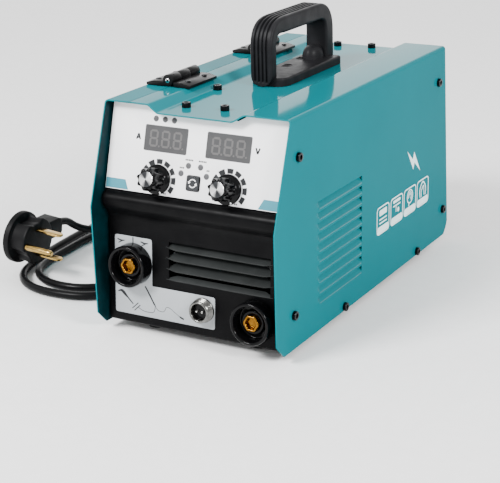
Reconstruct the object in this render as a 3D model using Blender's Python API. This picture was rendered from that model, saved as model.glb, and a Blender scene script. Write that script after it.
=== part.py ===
"""Portable MIG welding machine: sheet-metal case, sloped control front, wire feeder and power stage.

Lengths in this file are millimetres and are turned into Blender's metres by MM.
The front faces -Y, the right-hand side is +X, and the feet stand on z = 0.
"""
import math

import bmesh
import bpy
from mathutils import Matrix, Vector

MM = 0.001

# Case: outer size and the outline of a side, seen from the right (y, z).
HALF_WIDTH = 86.0
SHEET = 1.2
TOP = 196.0
CASE_BOTTOM = 6.0
FRONT_EDGE = -150.9
REAR_EDGE = 163.4
NOSE = -180.2
TAIL = 180.2
SIDE_OUTLINE = [(FRONT_EDGE, TOP), (NOSE, 111.5), (-178.8, 18.1), (-167.1, CASE_BOTTOM),
                (171.0, CASE_BOTTOM), (TAIL, 15.1), (REAR_EDGE, TOP)]
BEND = 3.0
INSIDE = HALF_WIDTH - SHEET

# Trough pressed into the top sheet, and the notch that follows it in both end panels.
TROUGH_FLAT = 34.6
TROUGH_RIM = 44.3
TROUGH_DEPTH = 5.9
TROUGH_FLOOR = TOP - TROUGH_DEPTH
NOTCH = [(-45.5, 194.3), (-35.5, 188.4), (35.5, 188.4), (45.5, 194.3)]
PANEL_LEFT = -83.0
PANEL_RIGHT = 84.2
PANEL_TOP = 194.3
PANEL_BOTTOM = 8.8

# Door seam and hinges along the left of the top.
SEAM = -62.0
SEAM_GAP = 0.35
HINGE_HEIGHT = 201.6
HINGE_RADIUS = 4.9
HINGE_LENGTH = 45.0
HINGE_STARTS = (-92.5, 54.5)
HINGE_PIN = 1.6
LEAF_REACH = 21.5
LEAF_BOTTOM = 196.4
LEAF_TOP = 200.4

# Front faces: the sloped control face and the nearly upright connection face.
UPPER_START = (0.0, -161.5, 123.3)
UPPER_SLOPE = 0.28
LOWER_START = (0.0, -165.1, 6.0)
LOWER_SLOPE = 0.062
LIP_CREST = (-167.9, 115.5)
WALL = 2.7
OVERLAY = 1.0
GAP = 0.3

# Controls, as (across, up) on the control face.
DISPLAYS = {"amp_display": (-29.3, 46.0), "volt_display": (29.25, 46.0)}
DISPLAY_SIZE = (39.8, 20.0)
WINDOW_SIZE = (40.6, 20.8)
KNOBS = {"current": (-33.0, 13.0), "voltage": (33.0, 13.0)}
BUTTON = (0.5, 13.9)
BUTTON_SIZE = 11.2
BUTTON_TRAVEL = 1.0
STATUS_LIGHTS = [(-40.6, 61.9), (-31.9, 61.9), (-23.2, 61.9)]
MODE_LIGHTS = [(-11.9, 20.7), (-5.65, 27.4), (5.65, 27.4), (11.9, 20.7)]
LIGHT_RADIUS = 2.1
BOARD_FACE = -10.4
BOARD_THICKNESS = 1.6

# Connections, as (across, up) on the connection face.
TORCH_SOCKET = (-57.0, 55.3)
GROUND_SOCKET = (59.9, 25.8)
CONTROL_SOCKET = (10.2, 26.1)
SOCKET_REACH = 14.5
LABEL = [(-76.2, 10.4), (21.0, 10.4), (21.0, 38.0), (-39.7, 38.0), (-39.7, 78.2), (-76.2, 78.2)]
LABEL_SEAT = 0.3
LABEL_THICKNESS = 0.6
FRONT_SLOT_HEIGHTS = (78.0, 68.9, 59.8, 50.7)
FRONT_SLOT = (-24.0, 72.0)
SIDE_SLOT = (-106.0, -22.0)
SIDE_SLOT_TOP = 118.0
SIDE_SLOT_PITCH = 9.1
SIDE_SLOTS = 10

# Carry handle on the trough.
HANDLE_X = -2.0
HANDLE_FRONT = -38.5
HANDLE_REAR = 82.0
HANDLE_TOP = 251.2
GRIP_DEPTH = 14.6
HANDLE_WIDTH = 21.5
HANDLE_BASE = 7.2

# Wire compartment on the left, behind the door.
WIRE_X = -57.0
WIRE_HEIGHT = 61.0
PARTITION = (-22.4, -21.2)
DRIVE_CENTRE = (-85.0, 46.8)
DRIVE_RADIUS = 15.0
PRESSURE_CENTRE = (-85.0, 73.3)
PRESSURE_RADIUS = 11.0
ARM_PIVOT = (-63.0, 74.0)
TENSION_Y = -106.0
SPOOL_CENTRE = (60.0, 118.0)
SPOOL_RADIUS = 50.0

# Rear panel and what it carries.
REAR_PANEL = (150.0, 151.2)
FAN_CENTRE = (32.0, 100.0)
FAN_FRAME = 92.0
FAN_BORE = 43.5
SWITCH_CENTRE = (-45.0, 150.0)
GLAND_CENTRE = (-45.0, 40.0)
GLAND_END = 172.4
FOOT_RADIUS = 8.0
FOOT_SPOTS = {"foot_front_left": (-49.5, -143.0), "foot_front_right": (49.5, -143.0),
              "foot_rear_left": (-49.5, 140.0), "foot_rear_right": (49.5, 140.0)}
THUMB_SCREW = (0.0, 14.0)

# Mains cord: its diameter and the route of its centre line, from the gland to the plug.
CORD = 7.5
CORD_STEP = 19.0
CURVE_STEPS = 24
FLOOR_LINE = CORD / 2 + 0.2
CORD_ROUTE = [
    (-45.0, GLAND_END + 0.4, 40.0), (-45.0, 190.0, 39.0), (-46.0, 212.0, 30.0), (-51.0, 233.0, 14.0),
    (-62.0, 254.0, FLOOR_LINE), (-86.0, 276.0, FLOOR_LINE), (-122.0, 284.0, FLOOR_LINE),
    (-160.0, 268.0, FLOOR_LINE), (-194.0, 232.0, FLOOR_LINE), (-220.0, 184.0, FLOOR_LINE),
    (-238.0, 130.0, FLOOR_LINE), (-246.0, 76.0, FLOOR_LINE), (-246.5, 24.0, FLOOR_LINE),
    (-243.0, -28.0, FLOOR_LINE), (-236.0, -72.0, FLOOR_LINE), (-225.0, -102.0, FLOOR_LINE),
    (-203.0, -122.5, FLOOR_LINE), (-172.0, -129.0, FLOOR_LINE), (-138.0, -122.0, FLOOR_LINE),
    (-116.0, -96.0, FLOOR_LINE), (-110.0, -54.0, FLOOR_LINE), (-112.0, -8.0, FLOOR_LINE),
    (-123.0, 34.0, FLOOR_LINE), (-150.0, 66.0, FLOOR_LINE), (-186.0, 74.0, FLOOR_LINE),
    (-216.0, 56.0, FLOOR_LINE), (-230.0, 18.0, FLOOR_LINE), (-229.0, -28.0, FLOOR_LINE),
    (-225.0, -66.0, FLOOR_LINE), (-213.5, -93.0, FLOOR_LINE), (-188.0, -109.0, FLOOR_LINE),
    (-156.0, -108.0, FLOOR_LINE), (-132.0, -88.0, FLOOR_LINE), (-124.0, -54.0, FLOOR_LINE),
    (-126.0, -16.0, FLOOR_LINE), (-139.0, 16.0, FLOOR_LINE), (-158.0, 34.0, 4.4),
    (-180.0, 38.0, 5.8), (-202.0, 31.0, 9.8), (-217.0, 17.0, 13.2), (-226.5, 3.0, 16.6),
    (-231.3, -9.0, 23.0), (-233.2, -19.0, 30.4), (-233.5, -30.9, 33.3)]

# Plug: centre of its front face, how far the blades point down, radii and depths.
PLUG_FACE = (-218.5, -84.5, 32.0)
PLUG_DROOP = math.radians(5.0)
PLUG_FLANGE = 24.8
PLUG_BODY = 22.3
PLUG_DEPTH = 24.0
FLANGE_DEPTH = 7.5
RELIEF_RADIUS = 6.0
RELIEF_SETBACK = -15.0
RELIEF_END = 52.0
BLADE_LENGTH = 27.0
BLADE_HALF_WIDTH = 4.0
BLADE_HALF_THICKNESS = 0.85
BLADE_RISE = 12.0
GROUND_OFFSET = -18.0
GROUND_RADIUS = 3.1


def wipe():
    """Remove every object of the scene."""
    for old in list(bpy.data.objects):
        bpy.data.objects.remove(old, do_unlink=True)


def material(name, colour, roughness, metallic=0.0):
    """A Principled material from an sRGB hex colour."""
    found = bpy.data.materials.get(name)
    if found:
        return found
    made = bpy.data.materials.new(name)
    made.use_nodes = True
    shader = made.node_tree.nodes["Principled BSDF"]
    levels = [int(colour[i:i + 2], 16) / 255 for i in (0, 2, 4)]
    linear = [v / 12.92 if v <= 0.04045 else ((v + 0.055) / 1.055) ** 2.4 for v in levels]
    shader.inputs["Base Color"].default_value = (*linear, 1.0)
    shader.inputs["Roughness"].default_value = roughness
    shader.inputs["Metallic"].default_value = metallic
    made.diffuse_color = (*linear, 1.0)
    return made


TEAL = material("teal_enamel", "2398A3", 0.25)
BLACK = material("black_plastic", "1C1C1E", 0.45)
GREY = material("handle_plastic", "343436", 0.5)
WHITE = material("white_overlay", "E2E2E2", 0.4)
LABEL_GREY = material("label_foil", "C4C8CB", 0.35)
SMOKE = material("display_lens", "787878", 0.2)
GUIDE = material("light_guide", "828282", 0.3)
BRASS = material("brass", "C08A30", 0.3, 1.0)
STEEL = material("plated_steel", "B9BBBD", 0.3, 1.0)
ALUMINIUM = material("aluminium", "A9ABAD", 0.4, 1.0)
PAN = material("black_enamel", "18181A", 0.4)
BOARD = material("circuit_board", "1E5A34", 0.5)
RUBBER = material("rubber", "141414", 0.7)
CORD_BLACK = material("cord_jacket", "161616", 0.55)


def swap(axis, a, b, along):
    """A point from two outline coordinates and a distance along the axis."""
    return {"X": (along, a, b), "Y": (a, along, b), "Z": (a, b, along)}[axis]


def prism(outline, low, high, axis):
    """A closed outline carried from low to high along X, Y or Z."""
    bm = bmesh.new()
    near = [bm.verts.new(swap(axis, a, b, low)) for a, b in outline]
    far = [bm.verts.new(swap(axis, a, b, high)) for a, b in outline]
    count = len(outline)
    bm.faces.new(near)
    bm.faces.new(far[::-1])
    for i in range(count):
        j = (i + 1) % count
        bm.faces.new((near[i], far[i], far[j], near[j]))
    bmesh.ops.recalc_face_normals(bm, faces=bm.faces)
    return bm


def block(low, high):
    """A rectangular block between two corners."""
    corners = [(low[0], low[1]), (high[0], low[1]), (high[0], high[1]), (low[0], high[1])]
    return prism(corners, low[2], high[2], "Z")


def plate(centre, size, low, high):
    """A rectangle about a centre, carried along Z."""
    half = (size[0] / 2, size[1] / 2)
    return block((centre[0] - half[0], centre[1] - half[1], low),
                 (centre[0] + half[0], centre[1] + half[1], high))


def disc(centre, radius, sides, start=0.0):
    """Points of a circle's outline."""
    angles = [start + 2 * math.pi * i / sides for i in range(sides)]
    return [(centre[0] + radius * math.cos(t), centre[1] + radius * math.sin(t)) for t in angles]


def arc(centre, radius, first, last, steps):
    """Points along an arc, angles in degrees."""
    angles = [math.radians(first + (last - first) * i / steps) for i in range(steps + 1)]
    return [(centre[0] + radius * math.cos(t), centre[1] + radius * math.sin(t)) for t in angles]


def turned(profile, sides, axis="Z", centre=(0.0, 0.0), lobes=0, lobe_depth=0.0, lobed=()):
    """A profile of (radius, distance along) turned about an axis; lobed rows get a wavy radius."""
    bm = bmesh.new()
    rings = []
    for row, (radius, along) in enumerate(profile):
        if radius == 0:
            rings.append([bm.verts.new(swap(axis, centre[0], centre[1], along))])
            continue
        ring = []
        for i in range(sides):
            t = 2 * math.pi * i / sides
            r = radius * (1 + lobe_depth * math.cos(lobes * t)) if row in lobed else radius
            a, b = centre[0] + r * math.cos(t), centre[1] + r * math.sin(t)
            ring.append(bm.verts.new(swap(axis, a, b, along)))
        rings.append(ring)
    closed = profile[0][0] > 0
    pairs = list(zip(rings, rings[1:])) + ([(rings[-1], rings[0])] if closed else [])
    for one, two in pairs:
        for i in range(sides):
            j = (i + 1) % sides
            corners = [one[i % len(one)], one[j % len(one)], two[j % len(two)], two[i % len(two)]]
            bm.faces.new(list(dict.fromkeys(corners)))
    bmesh.ops.recalc_face_normals(bm, faces=bm.faces)
    return bm


def gather(*shapes):
    """Several separate shapes in one mesh, for use as a cutter."""
    whole = bmesh.new()
    for shape in shapes:
        part = bpy.data.meshes.new("gathered")
        shape.to_mesh(part)
        shape.free()
        whole.from_mesh(part)
        bpy.data.meshes.remove(part)
    return whole


def place(name, bm, look, pivot=(0.0, 0.0, 0.0), parent=None):
    """Make an object whose origin is at pivot, both given in its parent's coordinates."""
    bmesh.ops.translate(bm, verts=bm.verts, vec=-Vector(pivot))
    bmesh.ops.scale(bm, verts=bm.verts, vec=(MM, MM, MM))
    mesh = bpy.data.meshes.new(name)
    bm.to_mesh(mesh)
    bm.free()
    mesh.materials.append(look)
    mesh.shade_smooth()
    mesh.set_sharp_from_angle(angle=math.radians(35))
    made = bpy.data.objects.new(name, mesh)
    bpy.context.scene.collection.objects.link(made)
    made.location = Vector(pivot) * MM
    made.parent = parent
    return made


def shape_with(target, bm, operation):
    """Add a Boolean step to an object; the tool shape is given in the parent's coordinates."""
    pivot = target.location / MM
    tool = place(target.name + ".tool", bm, target.data.materials[0], tuple(pivot), target.parent)
    tool.hide_render = True
    tool.display_type = "WIRE"
    step = target.modifiers.new(operation.lower(), "BOOLEAN")
    step.operation = operation
    step.object = tool
    return target


def cut(target, bm):
    return shape_with(target, bm, "DIFFERENCE")


def weld(target, bm):
    return shape_with(target, bm, "UNION")


def trim(target, bm):
    return shape_with(target, bm, "INTERSECT")


def frame_at(name, start, slope):
    """An empty whose X and Y lie on a front face and whose Z points out of it."""
    made = bpy.data.objects.new(name, None)
    bpy.context.scene.collection.objects.link(made)
    made.location = Vector(start) * MM
    made.rotation_euler = (math.pi / 2 - math.atan(slope), 0.0, 0.0)
    return made


def side_prism():
    """The whole case's side outline as a solid, wider than the case."""
    return prism(SIDE_OUTLINE, -HALF_WIDTH - 10, HALF_WIDTH + 10, "X")


def case():
    """Main cover, hinged door, base pan, partition and feet."""
    corner = (HALF_WIDTH - BEND, TOP - BEND)
    inner = BEND - SHEET
    slope = 0.55
    outline = [(SEAM + SEAM_GAP, TOP), (-TROUGH_RIM, TOP), (-TROUGH_FLAT, TROUGH_FLOOR),
               (TROUGH_FLAT, TROUGH_FLOOR), (TROUGH_RIM, TOP)]
    outline += arc(corner, BEND, 90, 0, 3) + [(HALF_WIDTH, 0.0), (INSIDE, 0.0)]
    outline += arc(corner, inner, 0, 90, 3)
    outline += [(TROUGH_RIM + slope, TOP - SHEET), (TROUGH_FLAT + slope, TROUGH_FLOOR - SHEET),
                (-TROUGH_FLAT - slope, TROUGH_FLOOR - SHEET), (-TROUGH_RIM - slope, TOP - SHEET),
                (SEAM + SEAM_GAP, TOP - SHEET)]
    cover = place("main_cover", prism(outline, NOSE - 5, TAIL + 5, "Y"), TEAL)
    trim(cover, side_prism())
    slots = []
    for row in range(SIDE_SLOTS):
        top = SIDE_SLOT_TOP - SIDE_SLOT_PITCH * row
        slots.append(block((INSIDE - 2, SIDE_SLOT[0], top - 3.0), (HALF_WIDTH + 2, SIDE_SLOT[1], top)))
    slots.append(prism(disc((-140.3, 164.5), 2.1, 8), INSIDE - 2, HALF_WIDTH + 2, "X"))
    cut(cover, gather(*slots))
    screw = [(0.0, 83.0), (1.7, 83.0), (1.7, 86.3), (4.0, 86.3), (4.0, 89.0), (0.0, 89.0)]
    place("cover_screw", turned(screw, 12, "X", (-140.3, 164.5)), PAN)

    left = (-corner[0], corner[1])
    outline = [(SEAM - SEAM_GAP, TOP)] + arc(left, BEND, 90, 180, 3)
    outline += [(-HALF_WIDTH, 0.0), (-INSIDE, 0.0)] + arc(left, inner, 180, 90, 3)
    outline += [(SEAM - SEAM_GAP, TOP - SHEET)]
    hinge = (SEAM, 0.0, HINGE_HEIGHT)
    door = place("spool_door", prism(outline, NOSE - 5, TAIL + 5, "Y"), TEAL, hinge)
    trim(door, side_prism())
    cut(door, prism(disc(THUMB_SCREW, 2.6, 12), -HALF_WIDTH - 2, -INSIDE + 2, "X"))
    screw = [(0.0, -89.0), (7.0, -89.0), (7.0, -86.3), (2.1, -86.3), (2.1, -80.0), (0.0, -80.0)]
    place("door_thumb_screw", turned(screw, 20, "X", THUMB_SCREW, 10, 0.04, (1, 2)), BLACK,
          (-HALF_WIDTH, *THUMB_SCREW))

    pan_half = INSIDE - 0.5
    pan = place("base_pan", block((-pan_half, -161.0, 7.0), (pan_half, 148.0, 8.2)), PAN)
    for side in (-1, 1):
        edges = sorted((side * pan_half, side * (pan_half - SHEET)))
        weld(pan, block((edges[0], -144.0, 7.0), (edges[1], 144.0, 20.0)))
    cut(pan, prism(disc(THUMB_SCREW, 3.2, 12), -pan_half - 2, -pan_half + 4, "X"))
    for name, spot in FOOT_SPOTS.items():
        foot = [(0.0, 0.0), (FOOT_RADIUS - 1, 0.0), (FOOT_RADIUS, 1.0), (FOOT_RADIUS, 6.7), (0.0, 6.7)]
        place(name, turned(foot, 16, "Z", spot), RUBBER)

    wall = place("partition_wall", block((PARTITION[0], -126.0, 8.8), (PARTITION[1], 146.0, 188.4)), PAN)
    holes = [prism(disc(DRIVE_CENTRE, 6.5, 12), PARTITION[0] - 2, PARTITION[1] + 2, "X"),
             prism(disc(SPOOL_CENTRE, 4.0, 10), PARTITION[0] - 2, PARTITION[1] + 2, "X")]
    cut(wall, gather(*holes))


def hinges():
    """Two plastic hinges across the seam: a fixed leaf, a door leaf and a pin each."""
    knuckle = HINGE_LENGTH / 3
    for name, start in zip(("front", "rear"), HINGE_STARTS):
        end = start + HINGE_LENGTH
        spans = {"hinge_leaf": (1, [(start + knuckle + 0.2, end - knuckle - 0.2)]),
                 "door_leaf": (-1, [(start, start + knuckle - 0.2), (end - knuckle + 0.2, end)])}
        for kind, (side, knuckles) in spans.items():
            inner, outer = SEAM + side * 5.6, SEAM + side * LEAF_REACH
            outline = [(inner, LEAF_BOTTOM), (outer, LEAF_BOTTOM), (outer, LEAF_BOTTOM + 2.2),
                       (SEAM + side * 14, LEAF_TOP), (inner, LEAF_TOP)]
            origin = (SEAM, start, HINGE_HEIGHT)
            leaf = place(name + "_" + kind, prism(outline, start, end, "Y"), BLACK, origin)
            for low, high in knuckles:
                barrel = disc((SEAM, HINGE_HEIGHT), HINGE_RADIUS, 16)
                weld(leaf, prism(barrel, low, high, "Y"))
                web = [(SEAM + side * 3.0, LEAF_BOTTOM + 0.6), (SEAM + side * 7, LEAF_BOTTOM + 0.6),
                       (SEAM + side * 7, LEAF_TOP - 0.2), (SEAM + side * 3.0, LEAF_TOP - 0.2)]
                weld(leaf, prism(web, low, high, "Y"))
            bore = disc((SEAM, HINGE_HEIGHT), HINGE_PIN + 0.35, 12)
            cut(leaf, prism(bore, start - 3, end + 3, "Y"))
        pin = [(0.0, start - 0.8), (HINGE_PIN, start - 0.8), (HINGE_PIN, end + 0.8), (0.0, end + 0.8)]
        place(name + "_hinge_pin", turned(pin, 10, "Y", (SEAM, HINGE_HEIGHT)), STEEL)


def on_face(start, slope, up, out):
    """World (y, z) of a point up a front face and out of it."""
    scale = math.hypot(1.0, slope)
    return (start[1] + (up * slope - out) / scale, start[2] + (up + out * slope) / scale)


def front(upper, lower):
    """Moulded front panel, white overlay and printed connection plate."""
    top = (PANEL_TOP - UPPER_START[2]) * math.hypot(1.0, UPPER_SLOPE)
    skin, back = -OVERLAY - GAP, -OVERLAY - GAP - WALL
    outline = [on_face(LOWER_START, LOWER_SLOPE, 2.8, 0.0), on_face(LOWER_START, LOWER_SLOPE, 92.7, 0.0),
               (-161.0, 103.0), (-164.6, 107.3), (-167.3, 111.5), LIP_CREST, (-166.2, 119.2),
               (-162.6, 122.3), on_face(UPPER_START, UPPER_SLOPE, 0.0, skin),
               on_face(UPPER_START, UPPER_SLOPE, top, skin), on_face(UPPER_START, UPPER_SLOPE, top - 0.9, back),
               on_face(UPPER_START, UPPER_SLOPE, -0.5, back), (-162.3, 118.6), (-164.9, 115.6),
               (-164.4, 112.4), (-162.2, 109.0), (-158.6, 104.6),
               on_face(LOWER_START, LOWER_SLOPE, 92.9, -WALL), on_face(LOWER_START, LOWER_SLOPE, 5.4, -WALL),
               (-148.0, 11.4), (-148.0, PANEL_BOTTOM)]
    panel = place("front_panel", prism(outline, PANEL_LEFT, PANEL_RIGHT, "X"), BLACK)
    notch = [(-55.7, 200.3)] + NOTCH + [(55.7, 200.3)]
    cut(panel, prism(notch, -175.0, -120.0, "Y"))

    face = place("control_overlay", block((PANEL_LEFT, 0.4, -OVERLAY), (PANEL_RIGHT, top, 0.0)), WHITE,
                 parent=upper)
    scale = math.hypot(1.0, UPPER_SLOPE)
    raised = [(x, (z - UPPER_START[2]) * scale) for x, z in notch]
    cut(face, prism(raised, -8.0, 6.0, "Z"))
    windows = [plate(spot, WINDOW_SIZE, -8.0, 4.0) for spot in DISPLAYS.values()]
    shafts = [prism(disc(spot, 4.0, 12), -8.0, 4.0, "Z") for spot in KNOBS.values()]
    lights = [prism(disc(spot, LIGHT_RADIUS + 0.35, 10), -8.0, 4.0, "Z")
              for spot in STATUS_LIGHTS + MODE_LIGHTS]
    button = plate(BUTTON, (BUTTON_SIZE + 0.9, BUTTON_SIZE + 0.9), -8.0, 4.0)
    holes = gather(*windows, *shafts, *lights, button)
    world_holes = holes.copy()
    bmesh.ops.transform(world_holes, matrix=upper_matrix(), verts=world_holes.verts)
    cut(face, holes)
    cut(panel, world_holes)

    slots = [block((FRONT_SLOT[0], height - 4.0, -12.0), (FRONT_SLOT[1], height, 8.0))
             for height in FRONT_SLOT_HEIGHTS]
    bores = [prism(disc(TORCH_SOCKET, 13.3, 20), -12.0, 8.0, "Z"),
             prism(disc(GROUND_SOCKET, 13.3, 20), -12.0, 8.0, "Z"),
             prism(disc(CONTROL_SOCKET, 8.4, 16), -12.0, 8.0, "Z")]
    lower_holes = gather(*slots, *bores)
    bmesh.ops.transform(lower_holes, matrix=lower_matrix(), verts=lower_holes.verts)
    cut(panel, lower_holes)
    label = place("connection_label", prism(LABEL, LABEL_SEAT, LABEL_SEAT + LABEL_THICKNESS, "Z"),
                  LABEL_GREY, parent=lower)
    cut(label, gather(prism(disc(TORCH_SOCKET, 13.6, 20), -2.0, 4.0, "Z"),
                      prism(disc(CONTROL_SOCKET, 8.7, 16), -2.0, 4.0, "Z")))


def face_matrix(start, slope):
    """From a front face's coordinates to the world's, in millimetres."""
    turn = Matrix.Rotation(math.pi / 2 - math.atan(slope), 4, "X")
    return Matrix.Translation(start) @ turn


def upper_matrix():
    return face_matrix(UPPER_START, UPPER_SLOPE)


def lower_matrix():
    return face_matrix(LOWER_START, LOWER_SLOPE)


def controls(upper):
    """Displays, light guide, knobs with their potentiometers, mode button and the board behind."""
    for name, spot in DISPLAYS.items():
        place(name, plate(spot, DISPLAY_SIZE, BOARD_FACE + 0.4, -0.4), SMOKE, parent=upper)
    outline = [(-60.0, 26.0), (-20.0, 26.0), (-20.0, 6.0), (20.0, 6.0), (20.0, 26.0), (60.0, 26.0),
               (60.0, 67.0), (-60.0, 67.0)]
    board = prism(outline, BOARD_FACE - BOARD_THICKNESS, BOARD_FACE, "Z")
    weld(place("display_board", board, BOARD, parent=upper),
         plate(BUTTON, (6.0, 6.0), BOARD_FACE - 1.0, BOARD_FACE + 1.3))

    low, high = -7.4, -5.2
    outline = [(-44.5, 59.0), (-3.0, 59.0), (-3.0, 31.5), (-9.6, 31.5), (-15.0, 24.5), (-15.0, 18.0),
               (-8.8, 18.0), (-8.8, 21.5), (8.8, 21.5), (8.8, 18.0), (15.0, 18.0), (15.0, 24.5),
               (9.6, 31.5), (3.0, 31.5), (3.0, 64.8), (-44.5, 64.8)]
    guide = place("indicator_light_guide", prism(outline, low, high, "Z"), GUIDE, parent=upper)
    for spot in STATUS_LIGHTS + MODE_LIGHTS:
        weld(guide, prism(disc(spot, LIGHT_RADIUS, 10), high - 1.0, 0.2, "Z"))

    for name, spot in KNOBS.items():
        body = [(0.0, -17.0), (8.0, -17.0), (8.0, -7.6), (3.6, -7.6), (3.6, 1.2), (3.0, 1.2),
                (3.0, 13.6), (0.0, 13.6)]
        place(name + "_potentiometer", turned(body, 16, "Z", spot), STEEL, parent=upper)
        knob = [(0.0, 18.6), (7.3, 18.6), (8.5, 17.2), (8.9, 5.4), (11.6, 3.6), (12.5, 2.6),
                (12.5, 0.8), (4.4, 0.8), (4.4, 2.0), (3.35, 2.0), (3.35, 14.2), (0.0, 14.2)]
        shape = turned(knob, 32, "Z", spot, 8, 0.07, (2, 3))
        place(name + "_knob", shape, BLACK, (*spot, 0.0), upper)

    button = plate(BUTTON, (BUTTON_SIZE, BUTTON_SIZE), -7.5, 1.4)
    place("mode_button", button, BLACK, (*BUTTON, 0.0), upper)


def sockets(lower):
    """Two welding sockets and the two-pin control socket."""
    seat = 1.2
    collar = [(7.2, -12.0), (12.9, -12.0), (12.9, seat), (18.0, seat), (18.0, 4.0),
              (17.0, SOCKET_REACH), (15.2, SOCKET_REACH), (14.6, 12.0), (14.6, 3.0), (7.2, 3.0)]
    contact = [(0.0, -22.0), (6.7, -22.0), (6.7, 11.2), (4.7, 11.2), (4.7, -12.0), (0.0, -12.0)]
    for name, spot in (("torch", TORCH_SOCKET), ("ground", GROUND_SOCKET)):
        place(name + "_socket_collar", turned(collar, 24, "Z", spot), BLACK, parent=lower)
        place(name + "_socket_contact", turned(contact, 18, "Z", spot), BRASS, parent=lower)
    shell = [(7.0, -10.0), (8.0, -10.0), (8.0, seat), (10.0, seat), (10.0, 3.0), (9.3, 3.0),
             (9.3, 8.6), (8.5, 9.4), (7.0, 9.4)]
    place("control_socket_shell", turned(shell, 24, "Z", CONTROL_SOCKET), STEEL, parent=lower)
    insert = [(0.0, -14.0), (6.6, -14.0), (6.6, 4.4), (0.0, 4.4)]
    core = place("control_socket_insert", turned(insert, 18, "Z", CONTROL_SOCKET), BLACK, parent=lower)
    for side in (-2.6, 2.6):
        pin = disc((CONTROL_SOCKET[0] + side, CONTROL_SOCKET[1]), 0.9, 8)
        weld(core, prism(pin, 2.0, 7.6, "Z"))


def handle():
    """Carry handle: base plate, two legs, grip and a boss, moulded in one piece."""
    low = TROUGH_FLOOR + GAP
    front_leg, rear_leg = HANDLE_FRONT + 10.0, HANDLE_REAR - 15.0
    grip = HANDLE_TOP - GRIP_DEPTH
    outline = [(HANDLE_FRONT + 1.5, low), (HANDLE_FRONT, 228.0)]
    outline += arc((HANDLE_FRONT + 13, HANDLE_TOP - 13), 13, 180, 90, 4)
    outline += arc((HANDLE_REAR - 19, HANDLE_TOP - 16), 16, 90, 8, 4) + [(HANDLE_REAR, low)]
    outline += [(rear_leg, low), (rear_leg, grip - 3), (rear_leg - 3, grip)]
    outline += [(front_leg + 3, grip), (front_leg, grip - 3), (front_leg, low)]
    half = HANDLE_WIDTH / 2
    arch = prism(outline, HANDLE_X - half, HANDLE_X + half, "X")
    made = place("carry_handle", arch, GREY)
    corner = 14.0
    left, right = HANDLE_X - 20.0, HANDLE_X + 20.0
    first, last = HANDLE_FRONT + 4.0, HANDLE_REAR - 2.0
    base = arc((right - corner, first + corner), corner, -90, 0, 4) + [(right, last - 5), (right - 5, last)]
    base += [(left + 5, last), (left, last - 5)] + arc((left + corner, first + corner), corner, 180, 270, 4)
    weld(made, prism(base, low, low + HANDLE_BASE, "Z"))
    weld(made, turned([(0.0, low + 2), (9.0, low + 2), (8.0, low + 16), (0.0, low + 19)], 14, "Z",
                      (HANDLE_X, rear_leg - 6.0)))


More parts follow.
